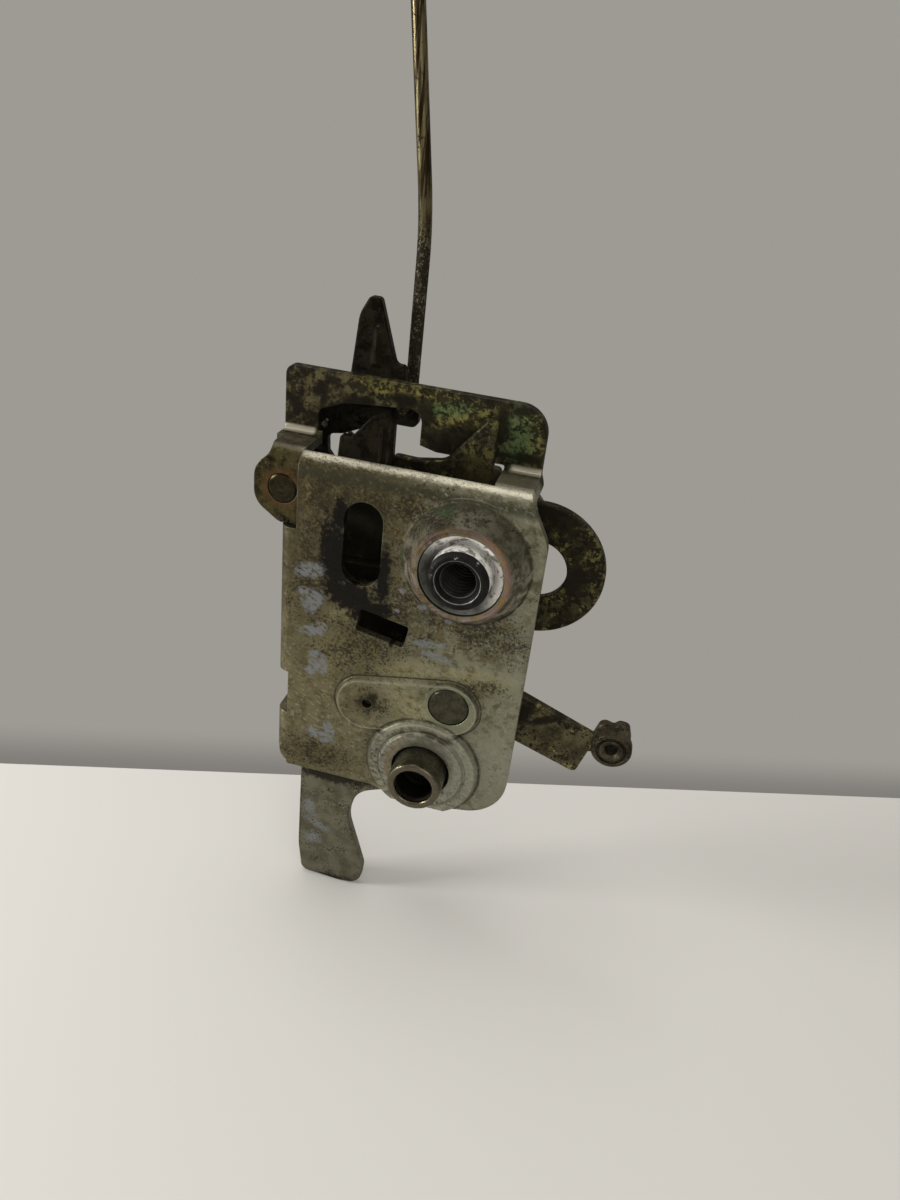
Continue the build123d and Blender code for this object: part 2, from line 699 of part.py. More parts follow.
def lock_finger():
    body = disc(ear, arm_boss) + outline(
        (ear[0], ear[1] + arm_boss - 1.2, 1.0),
        (-27.4, 12.6, 1.5),
        (-26.9, 19.0, 0.6),
        (-24.8, 18.9, 0.4),
        (-21.3, 23.2, 1.2),
        (-18.7, 24.2, 0.8),
        (-16.8, 22.8, 0.8),
        (-16.7, 13.0, 1.5),
        (-18.6, 9.2, 1.5),
        (ear[0] + 4, ear[1] - arm_boss + 0.9, 2.0))
    body -= disc(ear, ear_shank + run)
    finger = broken(plate(body, finger_front, lever_sheet))
    for rib_middle in finger_ribs:
        rib = outline(
            (rib_middle - 0.4, 13.0, 0.3), (rib_middle - 0.3, finger_rib_top, 0.25),
            (rib_middle + 0.3, finger_rib_top, 0.25), (rib_middle + 0.3, 13.0, 0.25))
        finger += plate(rib, finger_front - finger_rib_height, finger_rib_height + 0.3)
    return finger


def lock_hub():
    outer = ear_shank + lock_hub_wall
    return turned(
        ear, (ear_shank + run, finger_front + lever_sheet), (outer, finger_front + lever_sheet),
        (outer, lock_front), (ear_shank + run, lock_front))


# Lock rod and its retainer

def rod_y():
    """Depth of the rod's long run, just behind the lever."""
    return lock_front + lever_sheet + rod_corner


def lock_rod():
    points = [
        (rod_eye[0], lock_front - 0.2, rod_eye[1]),
        (rod_eye[0], rod_y(), rod_eye[1]),
        (rod_eye[0], rod_y(), rod_bend),
        (rod_top[0], rod_y(), rod_top[1])]
    return bent_wire(points, [rod_corner - 0.9, rod_bend_radius], rod_radius)


def rod_retainer():
    front = lock_front + lever_sheet + 0.05
    return turned(
        rod_eye, (rod_radius + run, front), (rod_radius + 1.1, front),
        (rod_radius + 1.1, front + 0.7), (rod_radius + run, front + 0.7))


# Springs

def release_spring():
    """Two close turns on the pivot rivet, with one leg in the bridge plate and one on the lever."""
    front = release_front + lever_sheet + coil_float
    spring = coil(pivot, release_coil, release_wire, front, release_turns)
    near = front + release_wire
    spring += bent_wire(
        [(release_hook[0], near, pivot[1] - release_wire), (release_hook[0], near, release_hook[1]),
         (release_hook[0], release_front, release_hook[1])], [0.8], release_wire)
    far = near + (release_turns - 1) * wire_bite * release_wire
    spring += bent_wire(
        [(release_anchor[0], far, pivot[1] - release_wire), (release_anchor[0], far, release_anchor[1]),
         (release_anchor[0], rear_front + rear_sheet, release_anchor[1])], [0.8], release_wire)
    return spring


def outer_lever_spring():
    """Three close turns on the lower bush, hooked in the outer handle lever and the bridge plate."""
    front = outer_front + lever_sheet + coil_float
    spring = coil(lower, outer_coil, outer_wire, front, outer_turns)
    near = front + outer_wire
    spring += bent_wire(
        [(lower[0], near, lower[1] - outer_coil), (outer_hook[0], near, outer_hook[1]),
         (outer_hook[0], outer_front, outer_hook[1])], [0.8], outer_wire)
    far = near + (outer_turns - 1) * wire_bite * outer_wire
    spring += bent_wire(
        [(outer_anchor[0], far, lower[1]), (outer_anchor[0], far, outer_anchor[1]),
         (outer_anchor[0], rear_front + rear_sheet, outer_anchor[1])], [0.8], outer_wire)
    return spring


def lock_spring():
    """Hairpin spring that throws the lock lever over centre."""
    front = lock_front + lever_sheet + coil_float
    spring = coil(lock_coil_centre, lock_coil, lock_wire, front, 2)
    near = front + lock_wire
    far = near + wire_bite * lock_wire
    low = (lock_coil_centre[0], near, lock_coil_centre[1] - lock_coil)
    high = (lock_coil_centre[0], far, lock_coil_centre[1] + lock_coil)
    spring += bent_wire(
        [low, (lock_anchor[0], low[1], lock_anchor[1]), (lock_anchor[0], rear_front + 0.2, lock_anchor[1])],
        [0.9], lock_wire)
    spring += bent_wire(
        [high, (lock_hook[0], high[1], lock_hook[1]), (lock_hook[0], lock_front, lock_hook[1])],
        [0.9], lock_wire)
    return spring


# Places that two pieces share

axis_gap = hypot(pivot[0] - lower[0], pivot[1] - lower[1])
pin_reach = axis_gap / 2         # the pin lies half-way between the two axes
to_pivot = degrees(atan2(pivot[1] - lower[1], pivot[0] - lower[0]))
drive_pin_centre = polar(lower, pin_reach, to_pivot)
release_coil = rivet_shank + coil_clear + release_wire
release_hook = (pivot[0] + release_coil, pivot[1] + 7.5)
release_anchor = (pivot[0] - release_coil, pivot[1] + 9.0)
outer_coil = low_bush_radius + coil_clear + outer_wire
outer_hook = (lower[0] - 8.5, lower[1] - 8.6)
outer_anchor = (lower[0] - outer_coil, lower[1] + 5.0)
lock_anchor = (-28.0, -1.0)
lock_hook = (-33.5, 17.5)

pieces = {
    "front_plate": front_plate,
    "rear_plate": rear_plate,
    "upper_bush": upper_bush,
    "lower_bush": lower_bush,
    "pivot_rivet": pivot_rivet,
    "ear_pin": ear_pin,
    "ear_pin_clip": ear_pin_clip,
    "pivot_spacer": pivot_spacer,
    "lever_washer": lever_washer,
    "bush_spacer": bush_spacer,
    "release_lever": release_lever,
    "release_spring": release_spring,
    "inner_handle_lever": inner_handle_lever,
    "rod_clip": rod_clip,
    "outer_handle_lever": outer_handle_lever,
    "drive_pin": drive_pin,
    "outer_lever_spring": outer_lever_spring,
    "lock_lever": lock_lever,
    "lock_finger": lock_finger,
    "lock_hub": lock_hub,
    "lock_rod": lock_rod,
    "rod_retainer": rod_retainer,
    "lock_spring": lock_spring,
}

os.makedirs("parts", exist_ok=True)
for name, make in pieces.items():
    export_step(make(), f"parts/{name}.step")
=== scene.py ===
import bpy
import numpy as np
from mathutils import Matrix, Vector


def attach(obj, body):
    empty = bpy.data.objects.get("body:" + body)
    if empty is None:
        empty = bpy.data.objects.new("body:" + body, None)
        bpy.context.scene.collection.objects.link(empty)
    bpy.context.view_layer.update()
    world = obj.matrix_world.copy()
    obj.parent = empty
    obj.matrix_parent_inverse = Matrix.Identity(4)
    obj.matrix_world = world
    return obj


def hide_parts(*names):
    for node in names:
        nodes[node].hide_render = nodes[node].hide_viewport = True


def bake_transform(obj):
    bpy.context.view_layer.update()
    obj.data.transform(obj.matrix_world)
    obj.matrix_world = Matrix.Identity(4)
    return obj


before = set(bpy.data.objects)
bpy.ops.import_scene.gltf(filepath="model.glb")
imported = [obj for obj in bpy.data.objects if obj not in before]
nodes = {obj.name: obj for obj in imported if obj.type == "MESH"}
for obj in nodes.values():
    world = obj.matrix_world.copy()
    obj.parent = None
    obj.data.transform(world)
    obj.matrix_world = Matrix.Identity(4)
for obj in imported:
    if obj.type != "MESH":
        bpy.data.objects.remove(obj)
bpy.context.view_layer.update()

# Front plate.
# One folded and drawn sheet of mild steel, plated with yellow-passivated zinc that has gone beige,
# greasy round the slot and dark on the flange. It carries both bushes and the rivet.


def add(tree, kind, settings=None, inputs=None, out=0):
    """Puts a node in the tree, links or sets its inputs, and returns one of its outputs.

    A colour that is set is given as red, green and blue.
    """
    node = tree.nodes.new(kind)
    for name, value in (settings or {}).items():
        setattr(node, name, value)
    for name, value in (inputs or {}).items():
        if isinstance(value, bpy.types.NodeSocket):
            tree.links.new(value, node.inputs[name])
        elif node.inputs[name].type == "RGBA":
            node.inputs[name].default_value = (*value, 1)
        else:
            node.inputs[name].default_value = value
    return node.outputs[out]


def sums(tree, operation, a, b, clamp=False):
    """One sum of two values, such as MULTIPLY or MAXIMUM."""
    return add(tree, "ShaderNodeMath", {"operation": operation, "use_clamp": clamp}, {0: a, 1: b})


def both(tree, a, b, clamp=False):
    """The product of two values, which for masks is where both are 1."""
    return sums(tree, "MULTIPLY", a, b, clamp)


def either(tree, a, b):
    """The larger of two masks."""
    return sums(tree, "MAXIMUM", a, b)


def inverse(tree, mask, clamp=False):
    """1 where the mask is 0, and 0 where it is 1."""
    return sums(tree, "SUBTRACT", 1.0, mask, clamp)


def vectors(tree, operation, a, b, out=0):
    """One operation on two vectors, such as SUBTRACT. Outlet 1 is the one that gives a number."""
    return add(tree, "ShaderNodeVectorMath", {"operation": operation}, {0: a, 1: b}, out)


def ramp_up(tree, value, low, high):
    """0 below low, 1 above high, and a smooth step between them."""
    return add(
        tree, "ShaderNodeMapRange", {"interpolation_type": "SMOOTHSTEP"},
        {"Value": value, "From Min": low, "From Max": high})


def band(tree, value, low, high, fade):
    """1 between low and high, and 0 outside them. Each border fades over this much to either side."""
    rise = ramp_up(tree, value, low - fade, low + fade)
    fall = ramp_up(tree, value, high - fade, high + fade)
    return sums(tree, "SUBTRACT", rise, fall, clamp=True)


def in_front(tree, depth, backmost, fade=0.2):
    """1 in front of the backmost depth, and 0 behind it, with a border that fades as in a band."""
    return inverse(tree, ramp_up(tree, depth, backmost - fade, backmost + fade))


def astray(tree, value, noise, share):
    """The value, moved by this share of the noise, so that a border through it wanders."""
    return sums(tree, "ADD", value, both(tree, noise, share))


def laid_over(tree, mask, under, over):
    """The colour under where the mask is 0, and the colour over where it is 1."""
    return add(tree, "ShaderNodeMix", {"data_type": "RGBA"}, {0: mask, 6: under, 7: over}, out=2)


def two_toned(tree, noise, low, high, under, over):
    """The colour under where the noise is below low, and the colour over where it is above high."""
    return laid_over(tree, ramp_up(tree, noise, low, high), under, over)


def between(tree, mask, low, high):
    """The value low where the mask is 0, and high where it is 1."""
    return add(tree, "ShaderNodeMapRange", {}, {"Value": mask, "To Min": low, "To Max": high})


def cloud(tree, place, scale, detail, rough=0.55):
    """Cloudy noise from 0 to 1, with scale features to the millimetre."""
    return add(
        tree, "ShaderNodeTexNoise", {},
        {"Vector": place, "Scale": scale, "Detail": detail, "Roughness": rough})


def effect(name, takes, gives):
    """An empty shader group with these sockets. Returns it with its input and its output node."""
    group = bpy.data.node_groups.new(name, "ShaderNodeTree")
    for label, kind, start in takes:
        socket = group.interface.new_socket(label, in_out="INPUT", socket_type=kind)
        socket.default_value = start
    for label, kind in gives:
        group.interface.new_socket(label, in_out="OUTPUT", socket_type=kind)
    return group, group.nodes.new("NodeGroupInput"), group.nodes.new("NodeGroupOutput")


def in_group(tree, group, inputs):
    """Puts a shader group in the tree and returns its first output."""
    return add(tree, "ShaderNodeGroup", {"node_tree": group}, inputs)


# Rounded edge: the normal of an edge as if it were worn round, and how much of an edge a place is.
rounded_edge, given, result = effect(
    "rounded edge",
    [("Radius", "NodeSocketFloat", 0.00025)],
    [("Normal", "NodeSocketVector"), ("Edge", "NodeSocketFloat")])
worn_normal = add(rounded_edge, "ShaderNodeBevel", {"samples": 4}, {"Radius": given.outputs["Radius"]})
true_normal = add(rounded_edge, "ShaderNodeNewGeometry", out=1)
likeness = vectors(rounded_edge, "DOT_PRODUCT", worn_normal, true_normal, out=1)
worn_off = ramp_up(rounded_edge, inverse(rounded_edge, likeness), 0.01, 0.2)
rounded_edge.links.new(worn_normal, result.inputs["Normal"])
rounded_edge.links.new(worn_off, result.inputs["Edge"])

# Stain: an oval patch with a ragged border round a place in the plane of the face.
stain, given, result = effect(
    "stain",
    [("Place", "NodeSocketVector", (0, 0, 0)), ("Centre", "NodeSocketVector", (0, 0, 0)),
     ("Size", "NodeSocketVector", (1, 1, 1)), ("Tilt", "NodeSocketFloat", 0.0),
     ("Ragged", "NodeSocketFloat", 0.0), ("Fade", "NodeSocketFloat", 0.3)],
    [("Mask", "NodeSocketFloat")])
offset = vectors(stain, "SUBTRACT", given.outputs["Place"], given.outputs["Centre"])
turned = add(
    stain, "ShaderNodeVectorRotate", {"rotation_type": "Y_AXIS"},
    {"Vector": offset, "Angle": given.outputs["Tilt"]})
shrunk = vectors(stain, "DIVIDE", turned, given.outputs["Size"])
reach = add(stain, "ShaderNodeVectorMath", {"operation": "LENGTH"}, {0: shrunk}, out=1)
frayed = sums(stain, "ADD", reach, given.outputs["Ragged"])
border = add(
    stain, "ShaderNodeMapRange", {"interpolation_type": "SMOOTHSTEP"},
    {"Value": frayed, "From Min": inverse(stain, given.outputs["Fade"]),
     "From Max": sums(stain, "ADD", 1.0, given.outputs["Fade"]), "To Min": 1.0, "To Max": 0.0})
stain.links.new(border, result.inputs["Mask"])

# Fleck: small dirt that comes in crowds. Cover from 0 to 1 says how much of the metal it hides.
fleck, given, result = effect(
    "fleck",
    [("Place", "NodeSocketVector", (0, 0, 0)), ("Grain", "NodeSocketFloat", 2.0),
     ("Cover", "NodeSocketFloat", 0.3)],
    [("Mask", "NodeSocketFloat")])
crowd = cloud(fleck, given.outputs["Place"], 0.3, 3.0)
grain = cloud(fleck, given.outputs["Place"], given.outputs["Grain"], 5.0, 0.7)
heap = sums(fleck, "ADD", both(fleck, crowd, 0.3), both(fleck, grain, 0.7))
over_needed = sums(fleck, "SUBTRACT", heap, between(fleck, given.outputs["Cover"], 0.68, 0.34))
fleck.links.new(ramp_up(fleck, over_needed, -0.008, 0.022), result.inputs["Mask"])


def flecks(tree, place, grain, cover):
    """Where flecks lie. The grain is how many come to the millimetre."""
    return in_group(tree, fleck, {"Place": place, "Grain": grain, "Cover": cover})


# Smear: noise drawn out along one direction in the plane of the face, as a wipe leaves it.
smear, given, result = effect(
    "smear",
    [("Place", "NodeSocketVector", (0, 0, 0)), ("Turn", "NodeSocketFloat", 0.5),
     ("Scale", "NodeSocketFloat", 1.0)],
    [("Value", "NodeSocketFloat")])
turned = add(
    smear, "ShaderNodeVectorRotate", {"rotation_type": "Y_AXIS"},
    {"Vector": given.outputs["Place"], "Angle": given.outputs["Turn"]})
drawn_out = vectors(smear, "MULTIPLY", turned, (0.5, 1.0, 1.0))
wiped = cloud(smear, drawn_out, given.outputs["Scale"], 6.0, 0.66)
smear.links.new(wiped, result.inputs["Value"])

# Crevice: 1 in corners, where the materials paint shade and grime, and 0 on open faces.
crevice, given, result = effect(
    "crevice", [("Reach", "NodeSocketFloat", 0.0012)], [("Mask", "NodeSocketFloat")])
openness = add(
    crevice, "ShaderNodeAmbientOcclusion", {"samples": 4}, {"Distance": given.outputs["Reach"]}, out=1)
closed_in = ramp_up(crevice, inverse(crevice, openness), 0.12, 0.62)
crevice.links.new(closed_in, result.inputs["Mask"])


def in_millimetres(tree):
    """The place on the part in millimetres, from its own coordinates."""
    own = add(tree, "ShaderNodeTexCoord", out=3)
    return add(tree, "ShaderNodeVectorMath", {"operation": "SCALE"}, {0: own, "Scale": 1000.0})


def broken(tree, mask, noise, low, high):
    """The mask, broken up where the noise is low."""
    return both(tree, mask, ramp_up(tree, noise, low, high))


def coordinate(tree, place, number):
    """One coordinate of a place: 0 is across, 1 is how far behind the face, and 2 is up."""
    return add(tree, "ShaderNodeSeparateXYZ", {}, {0: place}, number)


def bumpy(tree, height, strength, distance, normal):
    """The normal of a surface that the height raises by up to this distance in metres."""
    return add(
        tree, "ShaderNodeBump", {},
        {"Height": height, "Strength": strength, "Distance": distance, "Normal": normal})


def new_metal(name, gloss=0.08):
    """A material with its principled shader, both empty of links. The gloss is that of its dirt."""
    metal = bpy.data.materials.new(name)
    metal.use_nodes = True
    shader = metal.node_tree.nodes["Principled BSDF"]
    shader.inputs["Specular IOR Level"].default_value = gloss
    return metal, metal.node_tree, shader


def finish_with(metal, tree, shader, colour, metallic, roughness, normal):
    """Links the worked-out values to the shader."""
    values = {"Base Color": colour, "Metallic": metallic, "Roughness": roughness, "Normal": normal}
    for label, value in values.items():
        tree.links.new(value, shader.inputs[label])
    return metal


def give(metal, *names):
    """Puts the material in every slot of these nodes of the part."""
    for name in names:
        for place in nodes[name].material_slots:
            place.material = metal


def layer(tree, colour, mask, share, over):
    """Lays a tint over the colour, by this share of the mask."""
    return laid_over(tree, both(tree, mask, share, clamp=True), colour, over)


def laid_flat(tree, place):
    """The place in the plane of the face, and how far the border of a stain strays there."""
    flat = vectors(tree, "MULTIPLY", place, (1, 0, 1))
    strays = between(tree, cloud(tree, place, 0.7, 7.0, 0.72), -1.3, 1.3)
    return flat, strays


def stains(tree, where, spots, fade):
    """The most that any of these spots covers. A spot is x, z, half width, half height and tilt."""
    flat, strays = where
    covered = 0.0
    for x, z, wide, high, tilt in spots:
        spot = in_group(tree, stain, {
            "Place": flat, "Centre": (x, 0, z), "Size": (wide, 1, high), "Tilt": tilt,
            "Ragged": strays, "Fade": fade})
        covered = either(tree, covered, spot)
    return covered


def off_line(tree, flat, first, last):
    """How far a place is from the straight line between two points."""
    run = Vector(last) - Vector(first)
    offset = vectors(tree, "SUBTRACT", flat, first)
    along = vectors(tree, "DOT_PRODUCT", offset, tuple(run), out=1)
    share = sums(tree, "DIVIDE", along, run.length_squared, clamp=True)
    nearest = add(tree, "ShaderNodeVectorMath", {"operation": "SCALE"}, {0: tuple(run), "Scale": share})
    return vectors(tree, "DISTANCE", offset, nearest, out=1)


def from_axis(tree, flat, axis):
    """How far a place is from an axis through the face."""
    return vectors(tree, "DISTANCE", flat, (axis[0], 0, axis[1]), out=1)


# the axes of the round pieces on the face, across and up
upper_axis = (0.0, 0.0)
lower_axis = (-3.9, -48.2)
rivet_axis = (0.2, -31.5)
ear_axis = (-36.9, 7.4)


face_plating, tree, shader = new_metal("face_plating")
place = in_millimetres(tree)
across, behind, up = (coordinate(tree, place, number) for number in range(3))
to_left = both(tree, across, -1.0)
where = laid_flat(tree, place)
on_face, frayed = where
broad = cloud(tree, place, 0.055, 3.0)
mottle = cloud(tree, place, 0.4, 6.0, 0.66)
fine = cloud(tree, place, 3.2, 4.0, 0.6)
wipes = in_group(tree, smear, {"Place": place, "Turn": -0.5, "Scale": 1.5})

# clean plating: yellow at the left, paler and greener at the right, milky at the lower right
rightward = ramp_up(tree, astray(tree, across, broad, 26.0), -14.0, 22.0)
clean = laid_over(tree, rightward, (0.158, 0.140, 0.078), (0.212, 0.209, 0.145))
clean = layer(tree, clean, ramp_up(tree, mottle, 0.46, 0.60), 0.8, (0.088, 0.076, 0.040))
clean = layer(tree, clean, ramp_up(tree, wipes, 0.52, 0.64), 0.5, (0.36, 0.33, 0.225))
bloom = stains(tree, where, [
    (1.0, -46.0, 13.0, 8.5, 0.1), (11.0, -45.0, 4.5, 10.0, 0.0), (12.0, -19.0, 2.5, 9.0, 0.0)], 0.7)
clean = layer(tree, clean, broken(tree, bloom, mottle, 0.34, 0.56), 0.6, (0.30, 0.305, 0.235))

# yellower patches that the hand has kept clean
kept_clean = stains(tree, where, [
    (-24.0, -25.0, 5.0, 4.5, 0.4), (-10.0, -26.0, 7.0, 2.6, 0.2), (-8.6, -33.4, 7.5, 3.8, 0.1),
    (-24.0, -16.4, 3.6, 1.8, 0.3), (4.0, -25.0, 9.0, 2.6, 0.15)], 0.6)
clean = layer(tree, clean, broken(tree, kept_clean, wipes, 0.40, 0.54), 0.7, (0.325, 0.295, 0.160))

# brown wash and dark flecks, thickest round the slot, below the boss and by the emboss
dirty_spots = [
    (-21.0, 2.0, 11.0, 16.0, 0.1), (-13.0, -14.0, 13.0, 8.0, 0.4), (-29.0, 8.0, 7.0, 7.0, 0.0),
    (-14.0, 9.0, 13.0, 4.5, 0.1), (4.0, -13.5, 12.0, 4.5, -0.3), (-20.0, -23.0, 10.0, 6.0, 0.3),
    (-30.0, -9.0, 5.0, 12.0, 0.0), (-15.0, -34.8, 4.6, 3.4, 0.0), (-28.0, -52.0, 9.0, 4.0, 0.0),
    (2.0, -27.5, 8.0, 2.2, 0.25), (-27.0, 12.0, 8.0, 3.0, 0.0), (-14.0, -46.0, 3.0, 4.0, 0.0)]
dirty = stains(tree, where, dirty_spots, 0.95)
wash = broken(tree, dirty, wipes, 0.32, 0.62)
leftward = ramp_up(tree, to_left, 6.0, 20.0)
handled = both(tree, ramp_up(tree, up, -30.0, 6.0), leftward)
clean = layer(tree, clean, broken(tree, handled, mottle, 0.3, 0.5), 0.6, (0.040, 0.032, 0.017))
colour = layer(tree, clean, wash, 0.9, (0.050, 0.039, 0.019))
colour = layer(tree, colour, broken(tree, dirty, mottle, 0.54, 0.62), 0.6, (0.20, 0.160, 0.065))
smudged = in_group(tree, smear, {"Place": place, "Turn": -0.45, "Scale": 2.6})
specks = flecks(tree, place, 1.7, between(tree, dirty, 0.27, 0.60))
specks = broken(tree, specks, smudged, 0.36, 0.52)
colour = layer(tree, colour, specks, 0.85, (0.026, 0.020, 0.011))
crusts = flecks(tree, place, 0.9, between(tree, dirty, 0.16, 0.42))
colour = layer(tree, colour, crusts, 0.75, (0.030, 0.023, 0.012))

# the upper flange: olive brown with black blotches, yellow and green patches at the right
flange = ramp_up(tree, behind, 7.0, 10.5)
flange_tone = two_toned(tree, mottle, 0.40, 0.62, (0.014, 0.010, 0.005), (0.094, 0.080, 0.036))
yellowed = stains(tree, where, [
    (-12.8, 26.5, 5.0, 1.6, 0.0), (7.7, 20.9, 1.6, 3.0, 0.0), (-6.0, 23.0, 8.0, 2.6, 0.1),
    (6.0, 25.6, 2.0, 1.2, 0.0), (-22.0, 26.6, 4.0, 1.4, 0.0)], 0.8)
flange_tone = layer(tree, flange_tone, broken(tree, yellowed, wipes, 0.42, 0.58), 0.85,
                    (0.235, 0.210, 0.055))
greened = stains(tree, where, [(4.4, 21.5, 3.2, 5.4, 0.0), (-9.0, 24.6, 4.4, 1.3, 0.2)], 0.8)
flange_tone = layer(tree, flange_tone, broken(tree, greened, wipes, 0.36, 0.6), 0.9,
                    (0.088, 0.152, 0.060))
blackened = flecks(tree, place, 0.75, 0.54)
soot = stains(tree, where, [
    (-32.0, 19.0, 3.0, 3.0, 0.0), (-25.5, 21.6, 6.5, 1.6, -0.35), (-17.5, 25.0, 3.0, 1.2, 0.0),
    (-13.0, 22.6, 1.6, 3.0, 0.2), (-7.0, 19.6, 6.5, 2.8, 0.35), (1.2, 23.6, 1.3, 3.8, 0.0),
    (5.6, 26.9, 3.2, 1.0, 0.25), (9.6, 25.0, 1.2, 3.0, 0.0), (6.5, 18.0, 4.0, 1.0, 0.0)], 0.5)
blackened = either(tree, both(tree, blackened, 0.85), both(tree, soot, 0.92))
flange_tone = layer(tree, flange_tone, blackened, 1.0, (0.010, 0.008, 0.005))
colour = laid_over(tree, flange, colour, flange_tone)

# the ear: brown, with a rusty ring round its rivet
ear_area = both(tree, ramp_up(tree, to_left, 32.4, 34.0), band(tree, up, 0.8, 15.0, 0.6))
ear_tone = two_toned(tree, mottle, 0.35, 0.62, (0.013, 0.010, 0.005), (0.066, 0.054, 0.022))
from_ear_pin = from_axis(tree, on_face, ear_axis)
rust_ring = band(tree, astray(tree, from_ear_pin, frayed, 0.3), 2.9, 4.0, 0.5)
ear_tone = layer(tree, ear_tone, rust_ring, 0.6, (0.095, 0.048, 0.017))
colour = layer(tree, colour, ear_area, 1.0, ear_tone)

# black grease round the slot and down to the square hole
grease = stains(tree, where, [
    (-25.6, -4.4, 2.9, 8.6, 0.10), (-21.8, -11.6, 5.6, 3.4, -0.3), (-17.6, -14.1, 4.8, 2.2, 0.2),
    (-15.7, -6.5, 1.5, 6.0, 0.0), (-24.8, 5.0, 1.5, 3.4, 0.0), (-24.4, -11.0, 2.4, 2.6, 0.6),
    (-12.9, -19.6, 0.6, 1.6, 0.0), (-20.9, -15.6, 0.5, 1.4, 0.3)], 0.28)
grease = both(tree, grease, inverse(tree, flange))
colour = layer(tree, colour, grease, 0.97, (0.005, 0.004, 0.003))

# the drawn boss: its cone dull and greener with its upper side painted darker as shade, a dark line at
# its foot drawn heavier on the lower side as painted shade, and a pink and yellow film by the bush
from_bush = from_axis(tree, on_face, upper_axis)
uneven = astray(tree, from_bush, frayed, 0.35)
cone = band(tree, from_bush, 8.4, 12.2, 0.3)
cone_tone = two_toned(tree, mottle, 0.36, 0.60, (0.300, 0.262, 0.205), (0.036, 0.033, 0.021))
# the cone's upper side is painted darker, as shade
painted_shade_on_cone_top = ramp_up(tree, up, -2.0, 7.0)
cone_tone = layer(tree, cone_tone, painted_shade_on_cone_top, 0.85, (0.022, 0.020, 0.011))
colour = layer(tree, colour, cone, 0.7, cone_tone)
colour = layer(tree, colour, both(tree, cone, specks), 0.8, (0.016, 0.013, 0.008))
# the foot line is drawn heavier on the lower side as painted shade
lower_foot_shade = between(tree, ramp_up(tree, up, -9.0, 2.0), 0.95, 0.5)
foot_line = broken(tree, band(tree, uneven, 12.0, 12.5, 0.16), mottle, 0.36, 0.48)
colour = layer(tree, colour, foot_line, lower_foot_shade, (0.020, 0.016, 0.009))
rim_line = broken(tree, band(tree, uneven, 8.95, 9.25, 0.14), wipes, 0.36, 0.5)
colour = layer(tree, colour, rim_line, 0.75, (0.050, 0.030, 0.030))
film = band(tree, astray(tree, from_bush, frayed, 0.2), 8.1, 9.3, 0.35)
film_side = ramp_up(tree, astray(tree, across, broad, 8.0), 4.0, 11.0)
film_tone = two_toned(tree, mottle, 0.45, 0.55, (0.27, 0.14, 0.145), (0.36, 0.235, 0.085))
colour = layer(tree, colour, both(tree, film, between(tree, film_side, 0.3, 1.0)), 0.55, film_tone)
verdigris = stains(tree, where, [(-4.6, 10.4, 2.0, 0.5, 0.4), (-12.4, -0.5, 0.5, 1.6, 0.0)], 0.9)
colour = layer(tree, colour, verdigris, 0.3, (0.055, 0.105, 0.045))

# the lower boss: a milky film with a dark line at its foot, and a rusty arc on its left
from_low = from_axis(tree, on_face, lower_axis)
low_uneven = astray(tree, from_low, frayed, 0.3)
milk = broken(tree, band(tree, low_uneven, 7.0, 11.6, 0.8), wipes, 0.42, 0.56)
colour = layer(tree, colour, milk, 0.6, (0.33, 0.335, 0.275))
low_foot = broken(tree, band(tree, low_uneven, 12.0, 12.5, 0.14), mottle, 0.36, 0.5)
colour = layer(tree, colour, low_foot, 0.8, (0.034, 0.032, 0.020))
low_ring = broken(tree, band(tree, low_uneven, 9.3, 9.6, 0.12), wipes, 0.44, 0.54)
colour = layer(tree, colour, low_ring, 0.65, (0.060, 0.052, 0.034))
rusty_side = ramp_up(tree, to_left, 6.0, 10.0)
rust_arc = both(tree, band(tree, low_uneven, 7.0, 7.8, 0.3), rusty_side)
colour = layer(tree, colour, rust_arc, 0.55, (0.20, 0.12, 0.065))

# the emboss: a dark line round its foot, painted shade where its waist meets the top of the boss, and a
# painted highlight along its edge, most where it meets the boss
bean_foot = sums(tree, "SUBTRACT", off_line(tree, on_face, (-17.4, 0, -35.7), (0.2, 0, -32.4)), 6.4)
waist = sums(tree, "SUBTRACT", 10.2, from_low)
outside_bean = either(tree, bean_foot, waist)
strayed = astray(tree, outside_bean, frayed, 0.12)
bean_line = broken(tree, band(tree, strayed, 0.0, 0.35, 0.12), wipes, 0.30, 0.46)
bean_line = both(tree, bean_line, ramp_up(tree, from_low, 10.4, 11.6))
top_of_boss = both(tree, band(tree, from_low, 7.9, 10.4, 0.4), ramp_up(tree, up, -43.0, -40.0))
# painted shade below the emboss's waist, on the top of the boss
waist_shade = both(tree, band(tree, strayed, 0.1, 1.5, 0.5), top_of_boss)
colour = layer(tree, colour, bean_line, 0.8, (0.030, 0.027, 0.016))
colour = layer(tree, colour, broken(tree, waist_shade, mottle, 0.36, 0.52), 0.8, (0.042, 0.033, 0.020))
# the bright edge of the emboss is a painted highlight
bean_edge_highlight = band(tree, strayed, -1.0, -0.5, 0.16)
waist_side = ramp_up(tree, sums(tree, "SUBTRACT", waist, bean_foot), -1.5, 0.5)
bean_edge_highlight = both(tree, bean_edge_highlight, between(tree, waist_side, 0.4, 1.0))
from_rivet = from_axis(tree, on_face, rivet_axis)
rivet_halo = band(tree, astray(tree, from_rivet, frayed, 0.25), 4.3, 5.1, 0.2)
colour = layer(tree, colour, rivet_halo, 0.5, (0.215, 0.245, 0.155))
pin_hole_dirt = stains(tree, where, [(-16.7, -35.2, 1.9, 1.7, 0.0), (-15.6, -33.4, 1.2, 1.4, 0.4)], 0.6)
colour = layer(tree, colour, pin_hole_dirt, 0.9, (0.020, 0.015, 0.008))

